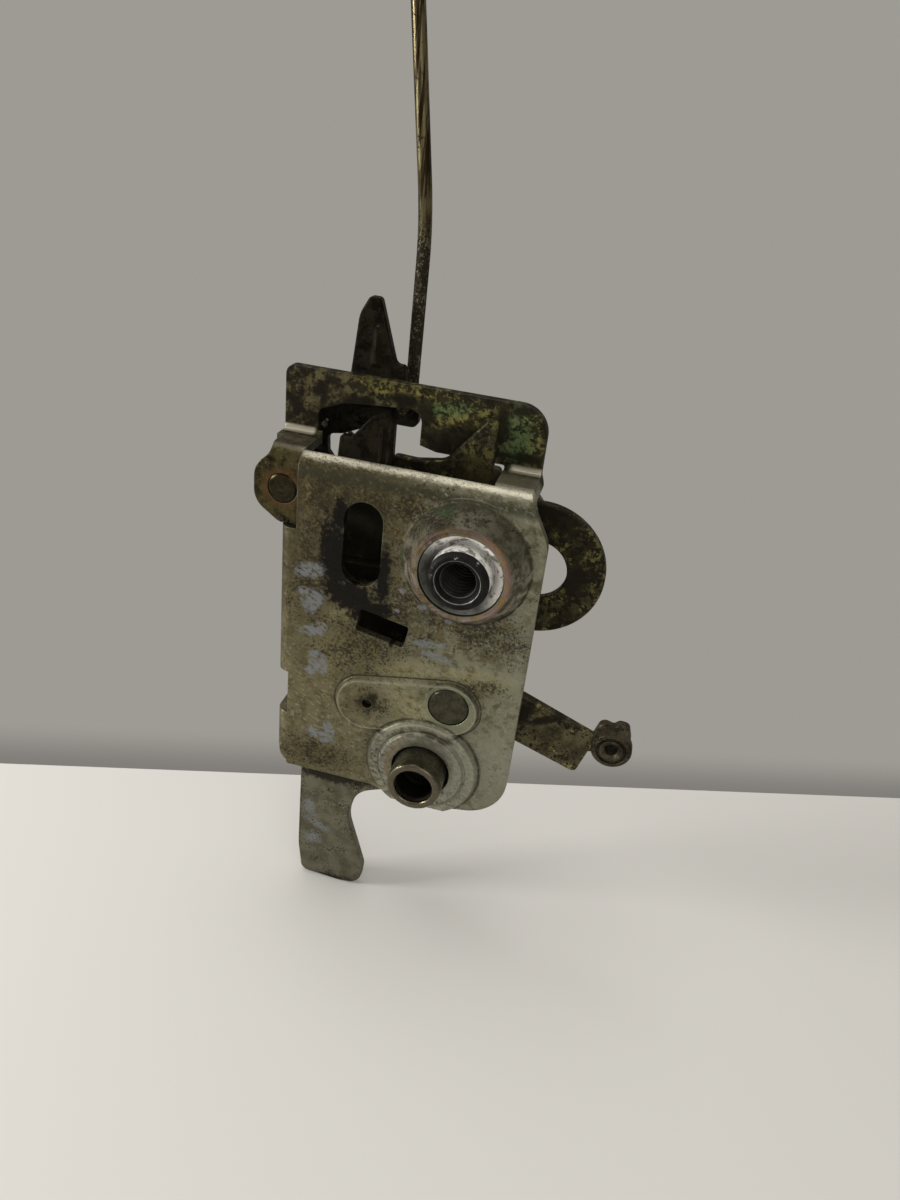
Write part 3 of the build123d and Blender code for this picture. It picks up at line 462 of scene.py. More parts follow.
# dull grey dabs of old paint, plain blots
dabs = stains(tree, where, [
    (-30.4, -7.9, 3.0, 1.6, 0.3), (-29.7, -14.4, 2.2, 2.6, -0.4), (-31.2, -13.0, 1.4, 1.2, 0.0),
    (-29.5, -21.3, 2.6, 1.2, 0.2), (-27.4, -19.8, 1.3, 0.8, -0.5), (-28.0, -28.5, 1.9, 2.7, 0.5),
    (-29.6, -31.0, 1.2, 1.0, 0.0), (-26.8, -46.9, 3.2, 1.4, -0.3), (-25.0, -45.0, 1.2, 2.2, 0.2),
    (-11.7, -8.1, 0.7, 0.6, 0.0), (-7.5, -10.7, 1.0, 0.6, 0.4), (-2.0, -12.6, 0.8, 0.5, 0.0),
    (-5.4, -18.6, 3.0, 0.8, 0.1), (-3.6, -21.0, 3.6, 0.7, -0.1), (-12.6, -12.8, 0.7, 0.5, 0.3)], 0.3)
dabs = both(tree, dabs, in_front(tree, behind, 0.9))
dabs = broken(tree, dabs, wipes, 0.40, 0.52)
colour = layer(tree, colour, dabs, 0.85, (0.175, 0.185, 0.190))

# painted shade and grime in the corners, and a dark band below the top bend that is a painted
# reflection.
# The bright bare metal is wear on the edges, wear and painted highlight on the top ridge, and painted
# highlight on the inner bends and the emboss's edge
corners = in_group(tree, crevice, {"Reach": 0.0016})
colour = layer(tree, colour, corners, 0.85, (0.020, 0.016, 0.010))
edges = in_group(tree, rounded_edge, {"Radius": 0.0003}).node
forward = in_front(tree, behind, 3.9, 0.5)
# a dark band below the top bend, painted as the bend's dark reflection
dark_reflection_below_bend = both(tree, band(tree, up, 11.4, 13.5, 0.8), forward)
dark_reflection_below_bend = both(tree, dark_reflection_below_bend, inverse(tree, ear_area, clamp=True))
colour = layer(tree, colour, broken(tree, dark_reflection_below_bend, wipes, 0.3, 0.5), 0.85, (0.034, 0.033, 0.018))
shelf = both(tree, ramp_up(tree, behind, 2.6, 4.2), inverse(tree, flange))
shelf = both(tree, shelf, ramp_up(tree, up, 14.0, 15.2))
shelf_tone = two_toned(tree, mottle, 0.42, 0.58, (0.024, 0.019, 0.010), (0.075, 0.064, 0.036))
colour = layer(tree, colour, shelf, 0.8, shelf_tone)
ridge_height = sums(tree, "ADD", up, between(tree, wipes, -0.9, 0.9))
# the top ridge is painted bright: partly wear, partly a painted highlight of the bend
ridge_wear_and_highlight = both(tree, band(tree, ridge_height, 14.5, 16.9, 0.5), forward)
ridge_end = between(tree, ramp_up(tree, across, -36.0, -31.0), 0.25, 1.0)
ridge_wear_and_highlight = both(tree, ridge_wear_and_highlight, ridge_end)
ridge_wear_and_highlight = both(tree, ridge_wear_and_highlight, inverse(tree, ear_area, clamp=True))
# the inner bends beside the window are painted bright as highlights
inner_bend_highlights = both(tree, band(tree, up, 15.3, 16.4, 0.25), band(tree, behind, 10.6, 12.3, 0.3))
right_of_window = ramp_up(tree, across, 3.6, 4.4)
left_of_window = inverse(tree, ramp_up(tree, across, -35.2, -34.4))
inner_bend_highlights = both(tree, inner_bend_highlights, either(tree, right_of_window, left_of_window))
retinted = either(tree, broken(tree, ridge_wear_and_highlight, fine, 0.36, 0.48), inner_bend_highlights)
edge_wear = both(tree, edges.outputs["Edge"], between(tree, flange, 0.32, 0.12))
retinted = either(tree, retinted, either(tree, edge_wear, both(tree, bean_edge_highlight, 0.7)))
retinted = both(tree, retinted, inverse(tree, grease))
colour = laid_over(tree, retinted, colour, (0.42, 0.39, 0.30))

# dirt, grease, paint and the painted dark band are dull, and the worn and highlighted bends shine
dull = either(tree, either(tree, specks, grease), either(tree, flange, dabs))
dull = either(tree, dull, either(tree, both(tree, cone, 0.55), shelf))
dull = either(tree, dull, both(tree, dark_reflection_below_bend, 0.8))
dull = sums(tree, "SUBTRACT", dull, retinted, clamp=True)
metallic = sums(tree, "SUBTRACT", between(tree, dull, 0.8, 0.25), both(tree, grease, 0.2), clamp=True)
roughness = sums(tree, "ADD", between(tree, fine, 0.34, 0.5), both(tree, dull, 0.16))
roughness = sums(tree, "ADD", roughness, both(tree, wash, 0.1))
surface_height = sums(tree, "ADD", both(tree, fine, 0.3), both(tree, specks, 0.8))
surface_height = sums(tree, "ADD", surface_height, both(tree, crusts, 0.8))
surface_height = sums(tree, "ADD", surface_height, both(tree, dabs, 0.7))
wavy = bumpy(tree, cloud(tree, place, 0.16, 3.0), 0.5, 0.0006, edges.outputs["Normal"])
normal = bumpy(tree, surface_height, 0.6, 0.00006, wavy)
give(finish_with(face_plating, tree, shader, colour, metallic, roughness, normal), "front_plate")

# Upper bush.
# Turned and threaded steel. Its dished seat fills the mouth of the drawn boss, and its far end is
# swaged into the rear plate. The cut thread and the countersink show from the front.

bush_tip = -7.7
bush_end = 14.696
bridge_front = 12.196
bridge_back = 13.796
thread_crest = 3.324
thread_depth = 0.62
thread_pitch = 1.25
neck = 5.0
swaged_end = [
    (neck, bridge_front), (neck, bridge_back), (6.3, bridge_back), (6.0, bush_end), (3.4, bush_end)]


def eased(points, size):
    """Rounds each corner of a line with a curve that leaves it this far before the corner.

    Each corner becomes the quadratic blend of its two cut points and itself, with a guard point on
    each side that keeps the straight runs straight. A cut takes at most 0.42 of a run.
    """
    points = np.asarray(points, float)
    before = np.roll(points, 1, axis=0)
    after = np.roll(points, -1, axis=0)
    before[0], after[-1] = points[0], points[-1]
    run_in = np.linalg.norm(before - points, axis=1, keepdims=True)
    run_out = np.linalg.norm(after - points, axis=1, keepdims=True)
    cut = np.minimum(size, 0.42 * np.minimum(run_in, run_out))
    toward = (before - points) / np.maximum(run_in, 1e-9)
    away = (after - points) / np.maximum(run_out, 1e-9)
    t = np.linspace(0, 1, 6)[None, :, None]
    start = (points + toward * cut)[:, None]
    end = (points + away * cut)[:, None]
    corner = (1 - t) ** 2 * start + 2 * t * (1 - t) * points[:, None] + t ** 2 * end
    guard_in = start + 0.15 * (toward * cut)[:, None]
    guard_out = end + 0.15 * (away * cut)[:, None]
    line = np.concatenate([guard_in, corner, guard_out], axis=1)
    return np.concatenate([points[:1], line[1:-1].reshape(-1, points.shape[1]), points[-1:]])


def surface(name, grid, wrap_rows=False):
    """A smooth mesh through a grid of points in millimetres, one quad for each four neighbours.

    The last column joins the first one, and the last row joins the first one if the rows wrap.
    """
    rows, columns = grid.shape[:2]
    index = np.arange(rows * columns).reshape(rows, columns)
    index = np.concatenate([index, index[:, :1]], axis=1)
    if wrap_rows:
        index = np.concatenate([index, index[:1]])
    quads = np.stack(
        [index[:-1, :-1], index[1:, :-1], index[1:, 1:], index[:-1, 1:]], axis=-1).reshape(-1, 4)
    mesh = bpy.data.meshes.new(name)
    mesh.vertices.add(rows * columns)
    mesh.vertices.foreach_set("co", (grid / 1000).astype(np.float32).ravel())
    mesh.loops.add(quads.size)
    mesh.loops.foreach_set("vertex_index", quads.astype(np.int32).ravel())
    mesh.polygons.add(len(quads))
    mesh.polygons.foreach_set("loop_start", np.arange(0, quads.size, 4, dtype=np.int32))
    mesh.polygons.foreach_set("use_smooth", np.ones(len(quads), bool))
    mesh.update(calc_edges=True)
    mesh.validate()
    piece = bpy.data.objects.new(name, mesh)
    bpy.context.scene.collection.objects.link(piece)
    return piece


def threaded_bush(name, centre, outside, thread_start):
    """A turned tube with a cut thread inside.

    The outside profile (radius, depth) runs from the mouth to the neck, the swaged end follows it, and
    the inner wall runs back to the start of the thread. On that wall the radius is the crest radius
    plus the thread depth times a trapezoid wave of (depth / pitch - turn), which is the helix. The
    wave fades out at both ends.
    """
    edge_round = 0.16
    steps_around = 72
    rows_to_a_turn = 16
    run_out = 0.8
    outer = eased(outside + swaged_end, edge_round)
    steps = int((bush_end - thread_start) / thread_pitch * rows_to_a_turn)
    wall_depth = np.linspace(bush_end, thread_start, steps)[1:-1]
    wall = np.column_stack([np.full(wall_depth.size, thread_crest), wall_depth])
    profile = np.concatenate([outer, wall])
    from_ends = np.minimum(wall_depth - thread_start, bush_end - wall_depth)
    fade = np.clip(from_ends / run_out, 0, 1)
    threaded = np.concatenate([np.zeros(len(outer)), fade])
    turn = np.linspace(0, 1, steps_around, endpoint=False)
    phase = (profile[:, 1:] / thread_pitch - turn[None, :]) % 1
    groove = np.interp(phase, [0, 0.125, 0.44, 0.56, 0.875, 1], [0, 0, 1, 1, 0, 0])
    radius = profile[:, :1] + thread_depth * threaded[:, None] * groove
    grid = np.stack(
        [centre[0] + radius * np.cos(2 * np.pi * turn), profile[:, 1:] + 0 * radius,
         centre[1] + radius * np.sin(2 * np.pi * turn)], axis=-1)
    return surface(name, grid, wrap_rows=True)


upper_thread = threaded_bush(
    "turned_upper_bush", upper_axis,
    [(thread_crest, -6.72), (4.3, bush_tip), (5.0, bush_tip), (5.75, -7.0), (5.75, -3.0),
     (7.85, -4.9), (7.85, 0), (5.75, 0), (5.75, bridge_front)], thread_start=-6.7)
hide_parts("upper_bush")
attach(upper_thread, "case")


def toned(tint, share):
    """The tint made darker or brighter by this share."""
    return tuple(share * value for value in tint)


def turned_steel(
        name, centre, tint, dirt_cover, corner_shade_and_grime=0.9, hollow=False, dished=False, tip_tint=None):
    """Turned steel with fine rings round its axis, painted shade and grime in its corners and dull
    smudges.

    The bore of a hollow one is painted near black as shade, least on the crests of its thread, which
    keep a faint painted glint. The dished one has a black tip with one ring left brighter as a painted
    highlight, and a pale chalky dull seat, bright as painted light on its upper right and in painted
    shade on its lower left. The tip tint colours a rolled tip.
    """
    metal, tree, shader = new_metal(name)
    place = in_millimetres(tree)
    offset = vectors(tree, "SUBTRACT", place, (centre[0], 0, centre[1]))
    flat = vectors(tree, "MULTIPLY", offset, (1, 0, 1))
    out = add(tree, "ShaderNodeVectorMath", {"operation": "LENGTH"}, {0: flat}, out=1)
    along = coordinate(tree, place, 1)
    to_front = both(tree, along, -1.0)
    lathe = add(tree, "ShaderNodeCombineXYZ", {}, {0: out, 1: along})
    rings = cloud(tree, lathe, 6.0, 4.0, 0.6)
    smudge = cloud(tree, place, 0.6, 6.0, 0.66)
    specks = flecks(tree, place, 2.2, dirt_cover)
    corners = both(tree, in_group(tree, crevice, {"Reach": 0.0016}), corner_shade_and_grime)
    edges = in_group(tree, rounded_edge, {"Radius": 0.00015}).node
    colour = layer(tree, tint, ramp_up(tree, smudge, 0.42, 0.62), 0.8, toned(tint, 0.5))
    colour = layer(tree, colour, ramp_up(tree, rings, 0.42, 0.7), 0.45, toned(tint, 0.3))
    colour = layer(tree, colour, specks, 0.85, (0.03, 0.026, 0.018))
    if dished:
        tip = ramp_up(tree, to_front, 6.65, 6.85)
        # one ring of the black tip is left brighter, a painted highlight
        off_highlight_ring = inverse(tree, band(tree, out, 4.2, 4.32, 0.06), clamp=True)
        blackened = both(tree, tip, between(tree, off_highlight_ring, 0.55, 1.0))
        blackened = broken(tree, blackened, smudge, 0.26, 0.38)
        colour = layer(tree, colour, blackened, 0.98, (0.003, 0.0026, 0.002))
        seat = both(tree, ramp_up(tree, out, 5.6, 5.7), band(tree, along, -6.75, -2.6, 0.15))
        chalk_and_shade = two_toned(tree, smudge, 0.50, 0.62, (0.93, 0.91, 0.86), (0.28, 0.265, 0.23))
        # the seat's lower left is painted into shade, and its upper right stays bright as if lit
        lit_side = vectors(tree, "DOT_PRODUCT", flat, (0.6, 0, 0.8), out=1)
        lit_side = sums(tree, "ADD", lit_side, between(tree, smudge, -3.0, 3.0))
        shady = inverse(tree, ramp_up(tree, lit_side, -3.5, 2.5), clamp=True)
        chalk_and_shade = layer(tree, chalk_and_shade, shady, 0.95, (0.045, 0.042, 0.033))
        chalk_and_shade = layer(tree, chalk_and_shade, specks, 0.8, (0.05, 0.045, 0.035))
        colour = layer(tree, colour, seat, 0.92, chalk_and_shade)
    if tip_tint:
        rolled = ramp_up(tree, to_front, 6.9, 7.1)
        colour = layer(tree, colour, broken(tree, rolled, rings, 0.3, 0.5), 0.85, tip_tint)
    dull = either(tree, specks, corners)
    if hollow:
        bore = inverse(tree, ramp_up(tree, out, 3.98, 4.12), clamp=True)
        bore = both(tree, bore, ramp_up(tree, along, -7.3, -5.6))
        # the bore is painted near black as shade, a little less on the thread's crests as a painted
        # glint
        bore_shade = between(tree, ramp_up(tree, out, 3.3, 3.6), 0.93, 0.99)
        colour = layer(tree, colour, bore, bore_shade, (0.007, 0.006, 0.004))
        dull = either(tree, both(tree, bore, 0.8), dull)
    # painted shade and grime in the corners
    colour = layer(tree, colour, corners, 0.95, (0.012, 0.010, 0.007))
    if dished:
        dull = either(tree, dull, either(tree, both(tree, blackened, 0.85), seat))
    metallic = between(tree, dull, 1.0, 0.25)
    roughness = sums(tree, "ADD", between(tree, smudge, 0.14, 0.42), both(tree, dull, 0.3), clamp=True)
    normal = bumpy(tree, rings, 0.5, 0.00004, edges.outputs["Normal"])
    return finish_with(metal, tree, shader, colour, metallic, roughness, normal)


bush_steel = turned_steel(
    "bush_steel", upper_axis, (0.62, 0.60, 0.56), dirt_cover=0.26, corner_shade_and_grime=0.4, hollow=True,
    dished=True)
upper_thread.data.materials.append(bush_steel)

# Dirt clots.
# Hardened lumps of dust and old grease, nearly black and quite dull. Two cling under the ear, and one
# sits in the corner of the notch.


def clot(name, centre, reach, squash, seed):
    """A closed lump. Its radius is the reach times 1 plus three crossed sine waves of both angles.

    The poles are pinched shut, and the depth of the lump is its radius times squash.
    """
    steps_round, steps_down = 28, 16
    round_turn = np.linspace(0, 2 * np.pi, steps_round, endpoint=False)[None, :]
    down_turn = np.linspace(0, np.pi, steps_down)[:, None]
    lumpy = 1 + 0.16 * np.sin(3 * round_turn + seed) * np.sin(2 * down_turn + seed)
    lumpy = lumpy + 0.10 * np.sin(5 * round_turn - 2 * seed) * np.sin(down_turn)
    lumpy = lumpy + 0.06 * np.cos(7 * down_turn)
    out = reach * lumpy * np.sin(down_turn)
    grid = np.stack(
        [centre[0] + out * np.cos(round_turn), centre[1] + squash * out * np.sin(round_turn),
         centre[2] + reach * np.cos(down_turn) * (lumpy[:, :1] + 0 * round_turn)], axis=-1)
    return surface(name, grid)


dry_grease, tree, shader = new_metal("dry_grease")
place = in_millimetres(tree)
crumbs = cloud(tree, place, 2.2, 5.0, 0.7)
colour = two_toned(tree, crumbs, 0.42, 0.62, (0.012, 0.009, 0.006), (0.050, 0.040, 0.024))
metallic = between(tree, crumbs, 0.0, 0.06)
roughness = between(tree, crumbs, 0.6, 0.9)
normal = bumpy(tree, crumbs, 0.8, 0.00015, add(tree, "ShaderNodeNewGeometry", out=1))
finish_with(dry_grease, tree, shader, colour, metallic, roughness, normal)
for name, centre, reach, squash, seed in (
        ("ear_clot", (-36.9, 1.2, 1.3), 0.75, 0.9, 0.4),
        ("small_ear_clot", (-35.7, 1.4, 1.0), 0.45, 1.0, 2.1),
        ("notch_clot", (-33.0, 12.2, 17.4), 0.6, 0.7, 1.3)):
    lump = clot(name, centre, reach, squash, seed)
    lump.data.materials.append(dry_grease)
    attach(lump, "case")

# Lower bush.
# The same bush with a rolled tip and a smooth mouth ahead of its thread. Its tip has a coppery tinge
# and its side is dark with old oil.

lower_thread = threaded_bush(
    "turned_lower_bush", lower_axis,
    [(3.4, -1.1), (3.95, -1.7), (3.95, -7.4), (4.25, bush_tip), (5.15, bush_tip), (5.5, -7.4),
     (5.6, -6.9), (5.6, 0.4), (7.0, 0.4), (7.0, 2.7), (5.6, 2.7), (5.6, bridge_front)],
    thread_start=-1.05)
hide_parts("lower_bush")
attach(lower_thread, "case")
tube_steel = turned_steel(
    "tube_steel", lower_axis, (0.150, 0.138, 0.096), dirt_cover=0.4, hollow=True,
    tip_tint=(0.112, 0.096, 0.066))
lower_thread.data.materials.append(tube_steel)

# Rivet, ear pin, spacers, washer, drive pin and lock hub.
# Small parts turned from plain steel, headed cold or pressed in place. They are dull and oily where
# they show, and those at the ear are brown.

rivet_steel = turned_steel("rivet_steel", rivet_axis, (0.078, 0.074, 0.048), dirt_cover=0.5)
give(rivet_steel, "pivot_rivet", "pivot_spacer", "lever_washer", "bush_spacer", "drive_pin")
ear_steel = turned_steel("ear_steel", ear_axis, (0.034, 0.027, 0.014), dirt_cover=0.36)
give(ear_steel, "ear_pin", "lock_hub")

# Rear plate.
# A flat stamped bridge of the same plated steel, behind all the levers. It takes the swaged ends of
# the bushes and the rivet, and is coated with old grease.


def greasy_zinc(
        name, bright, dim, patch, cover, patch_cover=0.35, oiled_and_shaded=(), grain=1.0, marks=(), edge=None):
    """Plated steel under old grease: mottled from dim to bright, with patches and black specks.

    The oiled and shaded places are stains as on the face, quite black, on all but the rear plate's
    back:
    old oil, and where they lie behind the slot and the square hole, painted shade on what shows through
    them. The marks are stains with a tint and a backmost depth of their own, and the edge is the tint
    of the worn edges.
    """
    metal, tree, shader = new_metal(name)
    place = in_millimetres(tree)
    mottle = cloud(tree, place, 0.28, 6.0, 0.62)
    fine = cloud(tree, place, 2.6, 4.0, 0.6)
    colour = two_toned(tree, mottle, 0.36, 0.64, dim, bright)
    patches = flecks(tree, place, 0.45, patch_cover)
    colour = laid_over(tree, patches, colour, patch)
    depth = coordinate(tree, place, 1)
    for tint, backmost, spots in marks:
        marked = stains(tree, laid_flat(tree, place), spots, 0.6)
        marked = broken(tree, marked, fine, 0.36, 0.5)
        marked = both(tree, marked, in_front(tree, depth, backmost))
        colour = layer(tree, colour, marked, 0.8, tint)
    specks = flecks(tree, place, grain, cover)
    if oiled_and_shaded:
        oil_and_shade = stains(tree, laid_flat(tree, place), oiled_and_shaded, 0.4)
        oil_and_shade = both(tree, oil_and_shade, in_front(tree, depth, 13.45, 0.15))
        specks = either(tree, specks, oil_and_shade)
    colour = layer(tree, colour, specks, 0.93, (0.010, 0.008, 0.005))
    corners = in_group(tree, crevice, {"Reach": 0.0014})
    # painted shade and grime in the corners
    colour = laid_over(tree, both(tree, corners, 0.8), colour, (0.018, 0.015, 0.009))
    edges = in_group(tree, rounded_edge, {"Radius": 0.00025}).node
    retinted = broken(tree, edges.outputs["Edge"], fine, 0.42, 0.62)
    colour = layer(tree, colour, retinted, 0.6, edge or toned(bright, 2.2))
    dull = either(tree, specks, corners)
    metallic = between(tree, dull, 0.75, 0.2)
    roughness = sums(tree, "ADD", between(tree, fine, 0.36, 0.56), both(tree, dull, 0.12))
    height = sums(tree, "ADD", both(tree, fine, 0.5), both(tree, specks, 0.8))
    normal = bumpy(tree, height, 0.6, 0.00007, edges.outputs["Normal"])
    return finish_with(metal, tree, shader, colour, metallic, roughness, normal)


# black stains on the parts seen through the slot and the square hole: painted shade on what shows
# through them, and old oil
shade_and_oil_behind_slot = (-22.6, -4.2, 8.5, 13.0, 0.0)
shade_and_oil_behind_square_hole = (-18.3, -22.0, 9.0, 7.0, 0.0)
brown_marks = [(-8.0, -16.0, 15.0, 9.0, 0.4), (-18.0, -42.0, 10.0, 8.0, 0.0)]
rear_zinc = greasy_zinc(
    "rear_zinc", (0.205, 0.188, 0.118), (0.088, 0.076, 0.042), (0.155, 0.148, 0.082),
    cover=0.2, oiled_and_shaded=[shade_and_oil_behind_slot, shade_and_oil_behind_square_hole], grain=1.8,
    marks=[((0.046, 0.038, 0.020), 16.0, brown_marks)])
give(rear_zinc, "rear_plate")

# Levers.
# Stamped from 2 mm sheet, plated like the face but far dirtier: olive and brown, with yellow-green
# patches where the plating still shows. The lower lever, the boot, is greyer.

ring_oil = [(15.0, 9.0, 5.0, 2.6, -0.5), (20.0, -3.0, 2.4, 5.0, 0.0), (10.0, -13.0, 4.0, 2.4, 0.0)]
finger_marks = [(1.0, 16.0, 5.5, 3.4, -0.5), (3.0, 13.0, 4.0, 3.4, 0.0)]
ring_zinc = greasy_zinc(
    "ring_zinc", (0.066, 0.058, 0.028), (0.022, 0.018, 0.010), (0.125, 0.112, 0.042),
    cover=0.52, patch_cover=0.42, oiled_and_shaded=[shade_and_oil_behind_slot, shade_and_oil_behind_square_hole, *ring_oil],
    marks=[((0.080, 0.069, 0.026), 12.0, finger_marks)])
give(ring_zinc, "release_lever")
handle_zinc = greasy_zinc(
    "handle_zinc", (0.118, 0.104, 0.056), (0.050, 0.042, 0.022), (0.225, 0.195, 0.080),
    cover=0.44, patch_cover=0.38, grain=1.8,
    oiled_and_shaded=[shade_and_oil_behind_square_hole, (14.0, -33.0, 3.0, 3.0, 0.0), (20.0, -33.5, 5.0, 1.0, 0.45)])
give(handle_zinc, "inner_handle_lever")
boot_oil = [
    (-32.8, -72.0, 1.0, 16.0, 0.0), (-26.0, -91.4, 8.0, 1.4, 0.15), (-25.0, -60.0, 9.0, 1.6, 0.0)]
grey_dabs = [
    (-29.6, -70.5, 1.2, 2.6, 0.3), (-27.6, -75.0, 3.0, 1.1, -0.4), (-28.6, -79.5, 2.0, 1.6, 0.2)]
boot_zinc = greasy_zinc(
    "boot_zinc", (0.155, 0.146, 0.102), (0.098, 0.090, 0.058), (0.175, 0.165, 0.115),
    cover=0.34, patch_cover=0.25, grain=2.0, oiled_and_shaded=boot_oil,
    marks=[((0.21, 0.22, 0.22), 3.8, grey_dabs)], edge=(0.040, 0.034, 0.020))
give(boot_zinc, "outer_handle_lever")
lock_zinc = greasy_zinc(
    "lock_zinc", (0.016, 0.013, 0.007), (0.004, 0.003, 0.002), (0.044, 0.036, 0.018),
    cover=0.5, patch_cover=0.2, edge=(0.050, 0.044, 0.028))
give(lock_zinc, "lock_lever", "lock_finger")

# Rod clip.
# A turned and bent steel clip that swivels in the lever's eye and holds the inner handle's rod. It is
# oily and rusty brown all over.

clip_rust = greasy_zinc(
    "clip_rust", (0.078, 0.066, 0.042), (0.026, 0.021, 0.013), (0.120, 0.088, 0.048),
    cover=0.42, patch_cover=0.25, grain=2.0)
give(clip_rust, "rod_clip")

# Lock rod.
# Plain drawn wire, 2.5 mm thick, bent at its foot into the lever's eye. The foot is black with grease
# and the upper part is brown with bare streaks along it.

rod_metal, tree, shader = new_metal("rod_metal")
place = in_millimetres(tree)
drawn = vectors(tree, "MULTIPLY", place, (1, 1, 0.06))
streak = cloud(tree, drawn, 1.1, 5.0, 0.6)
fine = cloud(tree, place, 2.4, 4.0, 0.6)
height_up = sums(tree, "ADD", coordinate(tree, place, 2), between(tree, fine, -6.0, 6.0))
upper = ramp_up(tree, height_up, 50.0, 58.0)
specks = flecks(tree, place, 1.3, between(tree, upper, 0.62, 0.22))
colour = two_toned(tree, streak, 0.44, 0.56, (0.022, 0.014, 0.007), (0.135, 0.112, 0.056))
low_tone = two_toned(tree, fine, 0.42, 0.6, (0.020, 0.016, 0.010), (0.125, 0.112, 0.068))
colour = laid_over(tree, upper, low_tone, colour)
colour = layer(tree, colour, specks, 0.9, (0.013, 0.010, 0.006))
rough_skin = sums(tree, "ADD", streak, both(tree, specks, between(tree, upper, 2.0, 0.6)))
normal = bumpy(tree, rough_skin, 0.6, 0.0001, add(tree, "ShaderNodeNewGeometry", out=1))
roughness = between(tree, specks, 0.34, 0.6)
metallic = both(tree, between(tree, specks, 0.85, 0.2), between(tree, upper, 0.5, 1.0))
give(finish_with(rod_metal, tree, shader, colour, metallic, roughness, normal), "lock_rod")

# Springs, retaining ring and retainer.
# The springs are wound from hard drawn wire, with straight legs hooked through the levers and the rear
# plate. The ring and the retainer are stamped from spring steel and pressed on.

spring_steel = greasy_zinc(
    "spring_steel", (0.15, 0.14, 0.12), (0.06, 0.055, 0.045), (0.22, 0.2, 0.17), cover=0.35)
give(spring_steel, "ear_pin_clip", "rod_retainer")


def wound(centre, radius, first_turn, last_turn, first_depth, last_depth):
    """Points of a helix round an axis through the face, from turn to turn in degrees."""
    degrees_to_a_point = 7
    steps = int(abs(last_turn - first_turn) / degrees_to_a_point)
    turn = np.radians(np.linspace(first_turn, last_turn, steps))
    depth = np.linspace(first_depth, last_depth, steps)
    return np.column_stack(
        [centre[0] + radius * np.cos(turn), depth, centre[1] + radius * np.sin(turn)])


def wire(name, path, radius):
    """A round wire along a path: rings of points set square to the path.

    Each ring lies on two axes, the cross of the path's direction with one slanting line, and the cross
    of the direction with that.
    """
    sides = 14
    direction = np.gradient(path, axis=0)
    direction /= np.linalg.norm(direction, axis=1, keepdims=True)
    side = np.cross(direction, (0.37, 0.53, 0.76))
    side /= np.linalg.norm(side, axis=1, keepdims=True)
    other = np.cross(direction, side)
    turn = np.linspace(0, 2 * np.pi, sides, endpoint=False)[None, :, None]
    ring = radius * (np.cos(turn) * side[:, None] + np.sin(turn) * other[:, None])
    grid = path[:, None] + ring
    first = path[None, :1] + 0 * ring[:1]
    last = path[None, -1:] + 0 * ring[-1:]
    return surface(name, np.concatenate([first, grid, last]))


def leg(*points):
    """A bent leg of a spring, its corners rounded by 0.8 mm."""
    return eased(points, 0.8)


release_coil = np.concatenate([
    leg((3.85, 8.4, -24.0), (3.85, 10.8, -24.0), (3.85, 10.8, -31.4)),
    wound(rivet_axis, 3.65, -2, -538, 10.8, 11.72),
    leg((-3.45, 11.72, -31.4), (-3.45, 11.72, -22.5), (-3.45, 13.8, -22.5))])
handle_coil = np.concatenate([
    leg((-12.4, 3.0, -56.8), (-12.4, 5.55, -56.8), (-10.1, 5.55, -46.9)),
    wound(lower_axis, 6.35, 166, -538, 5.55, 7.45),
    leg((-10.25, 7.45, -48.0), (-10.25, 7.45, -43.2), (-10.25, 13.8, -43.2))])
hairpin = np.concatenate([
    leg((-28.0, 12.4, -1.0), (-28.0, 16.85, -1.0), (-21.05, 16.85, 3.85)),
    wound((-22.5, 6.0), 2.6, -54, 412, 16.85, 17.95),
    leg((-20.95, 17.95, 8.1), (-33.5, 17.95, 17.5), (-33.5, 14.3, 17.5))])

# each spring is one fixed wire in place of the spring part; the lever and the two hook points listed
# with it, in the case and in the lever, are not used
for name, path, thickness, stands_for, lever, still, carried in (
        ("release_coil", release_coil, 0.32, "release_spring", "release",
         (0.0, 0.011, -0.026), (0.0034, 0.011, -0.026)),
        ("handle_coil", handle_coil, 0.46, "outer_lever_spring", "outer_handle",
         (-0.008, 0.006, -0.050), (-0.0115, 0.006, -0.055)),
        ("hairpin_coil", hairpin, 0.4, "lock_spring", "lock_arm",
         (-0.0235, 0.017, 0.0085), (-0.0325, 0.017, 0.0165))):
    coil = wire(name, path, thickness)
    coil.data.materials.append(spring_steel)
    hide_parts(stands_for)
    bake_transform(coil)

# Floor, light and camera.
# A pale table under the lock with a grey ground beyond its edge, soft lamps above and at both sides,
# and the camera where the photograph was taken from, close to the lock and a little above it.

floor_level = -0.0912
table_reach = 6.0
ground_reach = 9.0
left_end_of_edge, right_end_of_edge = -1.8611, 1.9597
floor_outline = [
    (-table_reach, -table_reach), (table_reach, -table_reach), (table_reach, right_end_of_edge),
    (-table_reach, left_end_of_edge), (ground_reach, ground_reach), (-ground_reach, ground_reach)]
floor_mesh = bpy.data.meshes.new("floor")
floor_mesh.from_pydata(
    [(x, y, floor_level) for x, y in floor_outline], [], [(0, 1, 2, 3), (3, 2, 4, 5)])
floor = bpy.data.objects.new("floor", floor_mesh)
bpy.context.scene.collection.objects.link(floor)


def seen_as_written(tree, shader, colour):
    """The colour itself to the camera and in reflections, and the shader to every other ray."""
    path = add(tree, "ShaderNodeLightPath").node
    seen = either(tree, path.outputs["Is Camera Ray"], path.outputs["Is Glossy Ray"])
    seen = either(tree, seen, path.outputs["Is Transmission Ray"])
    plain = add(tree, "ShaderNodeEmission", {}, {"Strength": 1.0, "Color": colour})
    return add(tree, "ShaderNodeMixShader", {}, {0: seen, 1: shader, 2: plain})


